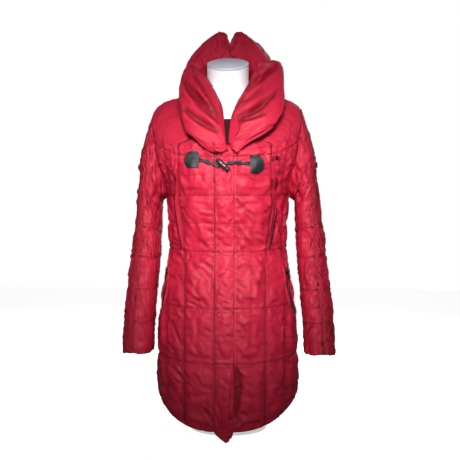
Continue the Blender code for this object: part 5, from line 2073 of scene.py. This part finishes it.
@dataclass
class Toggle:
    """The leather patches, the doubled cords and the horn toggle that close the collar."""

    patch_x: float = 0.078
    patch_z: dict[Side, float] = field(default_factory=lambda: {Side.RIGHT: 0.703, Side.LEFT: 0.693})
    patch_long: float = 0.040
    patch_high: float = 0.0415
    patch_thick: float = 0.0028
    patch_inner: float = 0.42  # the share of the patch inwards of its place
    patch_outer: float = 0.58
    patch_lift: float = 0.0022
    patch_grid: tuple[int, int] = (25, 17)
    stitch_inset: float = 0.0030
    stitch_pitch: float = 0.0033
    stitch_long: float = 0.0022
    stitch_radius: float = 0.00038
    cord_radius: float = 0.0025
    cord_spread: float = 0.0030
    cord_stop: float = 0.0105
    cord_aside: float = 0.004
    cord_crossing: float = 2.2 * math.pi  # the turn that the two strands make about each other
    cord_gap: float = 0.0004
    long: float = 0.042
    radius: float = 0.0072
    place: tuple[float, float] = (-0.002, 0.690)
    tilt: float = math.radians(-42)
    lift: float = 0.0016
    waist: float = 0.16  # how deep and how wide its waist is, as a share
    ferrule_places: tuple[float, ...] = (0.76, 0.77, 0.83, 0.93, 0.94)  # shares of the way to its end
    ferrule_sizes: tuple[float, ...] = (0.70, 0.80, 0.76, 0.70, 0.55)  # shares of the toggle's radius

    def patch(self, side: Side, cloth: BVHTree) -> None:
        """Makes one D-shaped leather patch with a stitched edge.

        Args:
            side: Its side.
            cloth: The front's filled panels.
        """
        out = TORSO.front_place(side.sign * self.patch_x, self.patch_z[side])[1]
        rows, columns = self.patch_grid
        lift, outline = np.zeros((rows, columns)), np.zeros((rows, columns, 3))
        for i, v in enumerate(np.sin(np.linspace(-1.0, 1.0, rows) * math.pi / 2)):
            round_side = math.sqrt(max(1.0 - v * v, 0.0)) * 0.72 + 0.10
            for j, u in enumerate(np.linspace(-self.patch_inner, self.patch_outer * round_side, columns)):
                x = side.sign * (self.patch_x + u * self.patch_long)
                flat = TORSO.front_place(x, self.patch_z[side] + v * self.patch_high / 2)[0]
                outline[i, j], lift[i, j] = flat, height_on(cloth, flat, out)
        points = outline + np.array(out) * (local_mean(lift, 3) + self.patch_lift)[..., None]
        if side is Side.RIGHT:
            points = points[:, ::-1]
        mesh = Panel(f"patch_{side.value}", points, np.ones((rows, columns))).mesh()
        bm = bmesh.new()
        bm.from_mesh(mesh)
        bpy.data.meshes.remove(mesh)
        piece = finish_piece(f"leather_patch_{side.value}", bm, LEATHER, f"toggle_patch_{side.value}")
        wall = piece.modifiers.new("Wall", "SOLIDIFY")
        wall.thickness, wall.offset = self.patch_thick, 1.0
        edge = piece.modifiers.new("Edge", "BEVEL")
        edge.width, edge.segments = 0.0010, 3
        edge.limit_method, edge.angle_limit = "ANGLE", math.radians(50)
        self.stitches(side, points, out)

    def stitches(self, side: Side, points: Array, out: Vector) -> None:
        """Sews the row of stitches just inside the patch's edge.

        Args:
            side: Its side.
            points: The patch's grid.
            out: Its way out.
        """
        middle = points.mean(axis=(0, 1))
        rim = np.concatenate((points[0], points[1:, -1], points[-1, -2::-1], points[-2:0:-1, 0]))
        rim = rim + (middle - rim) * (self.stitch_inset / np.linalg.norm(middle - rim, axis=1))[:, None]
        rim = np.concatenate((rim, rim[:1])) + np.array(out) * (self.patch_thick + 0.0002)
        far = run_along(rim)
        bm = bmesh.new()
        for at in np.arange(0.0, far[-1] - 0.003, self.stitch_pitch):
            start, end = (
                Vector([np.interp(place, far, rim[:, axis]) for axis in range(3)])
                for place in (at, at + self.stitch_long)
            )
            bar(bm, start, end, self.stitch_radius)
        finish_piece(f"patch_stitches_{side.value}", bm, DARK_THREAD)

    def build(self, cloth: BVHTree) -> None:
        """Makes all of it.

        Args:
            cloth: The front's filled panels.
        """
        for side in Side:
            self.patch(side, cloth)
        centre, out = TORSO.front_place(*self.place)
        middle = laid_on(cloth, centre, out, self.radius + self.lift)
        along = np.array(Matrix.Rotation(self.tilt, 3, out) @ Vector((1, 0, 0))) * self.long / 2
        share = np.linspace(-1.0, 1.0, 33)
        ends = np.minimum(1.0, 8.0 * (1.04 - np.abs(share))) ** 0.5
        waist = 1.0 - self.waist * np.exp(-((share / self.waist) ** 2))
        radii = self.radius * (1.0 - 0.42 * share**2) * waist * ends
        path = np.array(middle) + share[:, None] * along
        finish_piece("horn_toggle", lofted(rings_along(path, radii, 28)), HORN, "toggle")
        size = self.radius * np.array(self.ferrule_sizes)
        for end, name in ((-1, "upper"), (1, "lower")):
            path = np.array(middle) + end * np.array(self.ferrule_places)[:, None] * along
            finish_piece(f"toggle_ferrule_{name}", lofted(rings_along(path, size, 24)), DARK_METAL)
        for side in Side:
            self.cords(side, cloth)

    def strand(self, side: Side, cloth: BVHTree, way: int) -> Array:
        """Lays one strand of a cord.

        Args:
            side: The cord's side.
            cloth: The front's filled panels.
            way: 1 for the strand that starts above, -1 for the other.

        Returns:
            Its path, from the patch to the toggle.
        """
        start_x = side.sign * (self.patch_x - self.patch_inner * self.patch_long - 0.0005)
        start_z, stop_z = self.patch_z[side], self.place[1] + self.cord_aside * side.sign
        stop_x = side.sign * self.cord_stop + self.place[0]
        points = []
        for share in np.linspace(0.0, 1.0, 26):
            x = start_x + (stop_x - start_x) * share
            turn = math.cos(self.cord_crossing * share) * (1.0 - 0.35 * share)
            z = start_z + (stop_z - start_z) * share
            z += 0.002 * math.sin(math.pi * share) + way * self.cord_spread * turn
            flat, out = TORSO.front_place(x, z)
            around = [TORSO.front_place(x + step, z)[0] for step in (-0.004, 0.0, 0.004)]
            high = max((laid_on(cloth, near, out, 0.0) - flat).dot(out) for near in around)
            over = (1 + way * math.sin(self.cord_crossing * share)) * self.cord_radius
            points.append(flat + out * (high + self.cord_radius + self.cord_gap + 0.6 * over))
        return relaxed(np.array(points), 2)

    def cords(self, side: Side, cloth: BVHTree) -> None:
        """Makes the doubled cord from one patch to the toggle.

        Args:
            side: Its side.
            cloth: The front's filled panels.
        """
        name = f"toggle_cord_{side.value}"
        pieces, paths = [], []
        for way, place in ((1, "upper"), (-1, "lower")):
            path = self.strand(side, cloth, way)
            bm = lofted(rings_along(path, np.full(len(path), self.cord_radius), 16))
            pieces.append(finish_piece(f"{name}_{place}", bm, CORD, *((name,) if way > 0 else ())))
            paths.append(path)


@dataclass
class Pocket:
    """A slanted pocket: the zip's tape and teeth between two soft lips."""

    side: Side
    top: tuple[float, float] = (0.140, 0.436)
    foot: tuple[float, float] = (0.166, 0.312)
    tape_half: float = 0.0050
    tape_long: float = 0.1267
    tape_thick: float = 0.0012
    tape_gap: float = 0.0018
    tooth: Triple = (0.0026, 0.0008, 0.0013)
    tooth_pitch: float = 0.0022
    tooth_aside: float = 0.0006
    lip_apart: float = 0.0054
    lip_radius: float = 0.0027
    stations: int = 40

    def line(self, cloth: BVHTree, aside: float = 0.0) -> tuple[Array, Array]:
        """Runs down the zip on the cloth.

        Args:
            cloth: The front's filled panels.
            aside: How far outwards of the zip.

        Returns:
            The points and their ways out.
        """
        points, outs = [], []
        for share in np.linspace(0.0, 1.0, self.stations):
            x = self.top[0] + (self.foot[0] - self.top[0]) * share + aside
            z = self.top[1] + (self.foot[1] - self.top[1]) * share
            flat, out = TORSO.front_place(self.side.sign * x, z)
            points.append(laid_on(cloth, flat, out, 0.0))
            outs.append(out)
        return relaxed(np.array(points), 4), np.array(outs)

    def build(self, cloth: BVHTree) -> None:
        """Makes tape, teeth and lips.

        Args:
            cloth: The front's filled panels.
        """
        name, sign = self.side.value, self.side.sign
        points, outs = self.line(cloth)
        across = unit(np.cross(np.gradient(points, axis=0), outs))
        across *= np.sign(across[:, :1]) * sign
        share = np.linspace(-1.0, 1.0, 7)
        grid = points[:, None] + across[:, None] * (share * self.tape_half)[None, :, None]
        grid = grid + outs[:, None] * self.tape_gap
        if sign < 0:
            grid = grid[:, ::-1]
        tape = Panel(f"pocket_tape_{name}", grid[::-1], np.ones(grid.shape[:2]), wall=self.tape_thick)
        tape.nodes, tape.relief = (f"pocket_zip_{name}",), SMOOTH
        piece = tape.finish(tape.mesh(), TAPE, 11)
        self.teeth(points + outs * (self.tape_gap + 0.0005), across, outs)
        for aside, edge in ((-1, "inner"), (1, "outer")):
            at, out = self.line(cloth, aside * self.lip_apart)
            taper = np.sin(np.linspace(0.0, math.pi, self.stations)) ** 0.3
            radii = self.lip_radius * np.maximum(taper, 0.25)
            rings = rings_along(at + out * (radii * 0.5)[:, None], radii, 20)
            rings = np.concatenate((rings, rings[:, :1]), axis=1)
            lip = Panel(f"pocket_lip_{name}_{edge}", rings, np.ones(rings.shape[:2]), wrap=True, ends=True)
            lip.relief = Relief(groove=0.0, groove_width=0.001, pucker=0.0007, reach=0.01, wrinkle=0.0)
            lip.finish(lip.mesh(), SHELL, 13 + aside)

    def teeth(self, points: Array, across: Array, outs: Array) -> None:
        """Makes the zip's interlocked teeth.

        Args:
            points: The line they lie on.
            across: The way across it at each point.
            outs: The way out at each point.
        """
        far = run_along(points)
        size = Matrix.Diagonal((*self.tooth, 1.0))
        bm = bmesh.new()
        for k, at in enumerate(np.arange(0.004, far[-1] - 0.003, self.tooth_pitch / 2)):
            place, aside, out = (
                Vector([np.interp(at, far, table[:, axis]) for axis in range(3)])
                for table in (points, across, outs)
            )
            aside, out = aside.normalized(), out.normalized()
            turn = Matrix((aside, aside.cross(out), out)).transposed().to_4x4()
            shift = aside * (self.tooth_aside if k % 2 else -self.tooth_aside)
            bmesh.ops.create_cube(bm, size=1.0, matrix=Matrix.Translation(place + shift) @ turn @ size)
        finish_piece(f"pocket_teeth_{self.side.value}", bm, METAL, smooth=False)


@dataclass
class SleevePocket:
    """The patch pocket on the wearer's left sleeve, with its slanting mouth and a plain tab."""

    turn: float = math.radians(10)
    span: float = math.radians(42)
    lines: tuple[float, float] = (1.16, 1.92)
    thick: float = 0.0034
    grid: tuple[int, int] = (31, 23)
    puff: float = 0.0035
    sewn_rows: tuple[int, ...] = (1, 9, -2)
    tab_span: float = math.radians(13)
    tab_lines: tuple[float, float] = (1.42, 1.58)
    tab_thick: float = 0.0013
    tab_grid: tuple[int, int] = (13, 17)
    tab_puff: float = 0.0002

    def patch(
        self,
        name: str,
        span: float,
        lines: tuple[float, float],
        grid: tuple[int, int],
        on: BVHTree,
        puff: float,
    ) -> Panel:
        """Lays a patch on the sleeve, smoothed so that it bridges the wrinkles below it.

        Args:
            name: Its name.
            span: The turn that it takes up.
            lines: Its first and last line.
            grid: Its rows and columns of points.
            on: What it lies on.
            puff: How far its middle rises.

        Returns:
            The patch.
        """
        form = SleeveForm(Side.LEFT)
        rows, columns = grid
        line, share = np.linspace(*lines, rows), np.linspace(-0.5, 0.5, columns)
        turn = np.repeat((self.turn + span * share)[None], rows, axis=0)
        at = np.repeat(line[:, None], columns, axis=1)
        base, out = form.place(turn, at), form.out(turn, at)
        lift = np.zeros(grid)
        for place in np.ndindex(grid):
            lift[place] = height_on(on, Vector(base[place]), Vector(out[place]))
        lift = np.maximum(lift, local_mean(lift, 2)) + 0.0006
        rise = swell(np.linspace(0, 1, rows))[:, None] * swell(np.linspace(0, 1, columns))[None, :]
        points = base + out * (lift + puff * rise)[..., None]
        return Panel(name, points[:, ::-1], np.ones(grid))

    def build(self, sleeve: BVHTree) -> None:
        """Makes the pocket, the edge of its mouth and the tab.

        Args:
            sleeve: The sleeve's filled panels.
        """
        pocket = self.patch("arm_pocket", self.span, self.lines, self.grid, sleeve, self.puff)
        pocket.nodes, pocket.wall = ("sleeve_pocket",), -self.thick
        pocket.rows_sewn, pocket.columns_sewn = np.zeros(self.grid[0]), np.zeros(self.grid[1])
        pocket.rows_sewn[list(self.sewn_rows)] = 1.0
        pocket.columns_sewn[[1, -2]] = 1.0
        piece = pocket.finish(pocket.mesh(), SHELL, 17)
        on = piece_tree([piece])
        tab = self.patch("arm_tab", self.tab_span, self.tab_lines, self.tab_grid, on, self.tab_puff)
        tab.nodes, tab.relief, tab.wall = ("sleeve_tab",), SMOOTH, -self.tab_thick
        tab.points = tab.points + np.array((self.thick, 0.0, 0.0))
        tab.finish(tab.mesh(), LEATHER, 19)


# ---------------------------------------------------------------- studio


@dataclass
class Studio:
    """Pale floor, soft light and the camera at the photograph's angle."""

    azimuth: float = math.radians(3.5)
    pitch: float = math.radians(-1.8)
    distance: float = 2.5
    height: float = 0.604
    lens: float = 74.4
    pixel: float = 0.00263  # what a pixel of the photograph shows at the coat
    axis_px: float = 228.0  # the column of the coat's middle
    middle_px: float = 230.0
    room: float = 0.07  # how much light the white room itself gives

    def build(self) -> None:
        """Sets the stage."""
        self.floor()
        self.lights()
        self.camera()

    def floor(self) -> None:
        """A flat pale floor that glows evenly and is unseen by diffuse and glossy rays."""
        bm = bmesh.new()
        bmesh.ops.create_grid(bm, x_segments=1, y_segments=1, size=4.0)
        mesh = bpy.data.meshes.new("floor")
        bm.to_mesh(mesh)
        bm.free()
        shader = Shader("pale_floor")
        broad = shader.noise(shader.place(), 0.6, 2.0)
        pale = shader.mix(broad, (0.86, 0.86, 0.86), (0.89, 0.89, 0.89))
        shader.set(Base_Color=pale, Roughness=0.9, Emission_Color=pale, Emission_Strength=1.02)
        mesh.materials.append(shader.made)
        floor = bpy.data.objects.new("floor", mesh)
        floor.visible_diffuse = floor.visible_glossy = False
        bpy.context.scene.collection.objects.link(floor)

    @staticmethod
    def area(name: str, place: Triple, aim: Triple, size: float, power: float, spread: float) -> None:
        """Sets one soft box, narrowed by its spread.

        Args:
            name: Its name.
            place: Where it stands.
            aim: What it points at.
            size: Its side.
            power: Its watts.
            spread: Its spread in degrees.
        """
        spread = math.radians(spread)
        lamp = bpy.data.lights.new(name, "AREA")
        lamp.shape, lamp.size, lamp.energy, lamp.spread = "SQUARE", size, power, spread
        made = bpy.data.objects.new(name, lamp)
        made.location = place
        made.rotation_mode = "QUATERNION"
        made.rotation_quaternion = (Vector(aim) - Vector(place)).to_track_quat("-Z", "Y")
        bpy.context.scene.collection.objects.link(made)

    def lights(self) -> None:
        """A near, narrow key on the chest, soft fill from both sides, and a white room for the camera."""
        self.area("key", (0.08, -1.70, 1.17), (0.0, 0.0, 0.57), 0.50, 3.3, 34)
        self.area("fill", (1.7, -1.9, 1.0), (0.0, 0.0, 0.60), 1.2, 1.5, 150)
        self.area("fill_left", (-1.8, -1.6, 0.8), (0.0, 0.0, 0.50), 1.2, 0.7, 150)
        self.area("back", (0.6, 2.2, 1.9), (0.0, 0.0, 0.7), 1.5, 16.0, 150)
        self.area("low_back", (0.3, 1.7, 0.45), (0.0, 0.0, 0.05), 0.8, 5.0, 150)
        world = bpy.data.worlds.new("pale_room")
        world.use_nodes = True
        tree = world.node_tree
        background = tree.nodes["Background"]
        background.inputs["Color"].default_value = (1.0, 1.0, 1.0, 1.0)
        rays = tree.nodes.new("ShaderNodeLightPath")
        strength = tree.nodes.new("ShaderNodeMapRange")
        strength.inputs["To Min"].default_value = self.room
        strength.inputs["To Max"].default_value = 1.0
        tree.links.new(rays.outputs["Is Camera Ray"], strength.inputs["Value"])
        tree.links.new(strength.outputs["Result"], background.inputs["Strength"])
        scene = bpy.context.scene
        scene.world = world
        scene.view_settings.view_transform = "Standard"

    def camera(self) -> None:
        """Sets it at the photograph's angle."""
        data = bpy.data.cameras.new("camera")
        data.lens, data.sensor_width = self.lens, 36.0
        made = bpy.data.objects.new("camera", data)
        back = Vector((math.sin(self.azimuth), -math.cos(self.azimuth), 0.0))
        right = Vector((math.cos(self.azimuth), math.sin(self.azimuth), 0.0))
        aside = (self.middle_px - self.axis_px) * self.pixel
        made.location = back * self.distance + right * aside + Vector((0, 0, self.height))
        look = -back * math.cos(self.pitch) + Vector((0, 0, math.sin(self.pitch)))
        made.rotation_mode = "QUATERNION"
        made.rotation_quaternion = look.to_track_quat("-Z", "Y")
        bpy.context.scene.collection.objects.link(made)
        bpy.context.scene.camera = made


def main() -> None:
    """Builds the coat, the form and the studio in order."""
    fill = DownFill()
    body_nodes = [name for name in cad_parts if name.startswith(("front_", "back_"))]
    arm_parts = ("sleeve_front", "sleeve_back", "sleeve_strip")
    arm_nodes = [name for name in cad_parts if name.startswith(arm_parts)]
    CoatBody(fill).build()
    StormFlap(fill).build()
    body_tree = node_tree_of(body_nodes)
    for side in Side:
        Sleeve(fill, side).build(body_tree)
    shoulders = node_tree_of(body_nodes + ["storm_flap"] + arm_nodes)
    Collar(fill).build(shoulders)
    Hood(fill).build(shoulders)
    fill.run()
    DressForm().build()
    VFootStrip().build()
    made = {panel.name: panel.piece for panel in fill.panels}
    front_names = ("quilted_front", "storm_flap")
    front = piece_tree([piece for name, piece in made.items() if name.startswith(front_names)])
    Toggle().build(front)
    for side in Side:
        Strap(side).build(front)
        Pocket(side).build(front)
    SleevePocket().build(piece_tree([made[f"quilted_{part}_left"] for part in arm_parts]))
    for node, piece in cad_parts.items():
        if node.startswith(("zip_slider", "pull_tab")):
            piece.data.materials.clear()
            piece.data.materials.append((METAL if node.startswith("zip") else DARK_METAL).material())
    Studio().build()


if __name__ == "__main__":
    main()
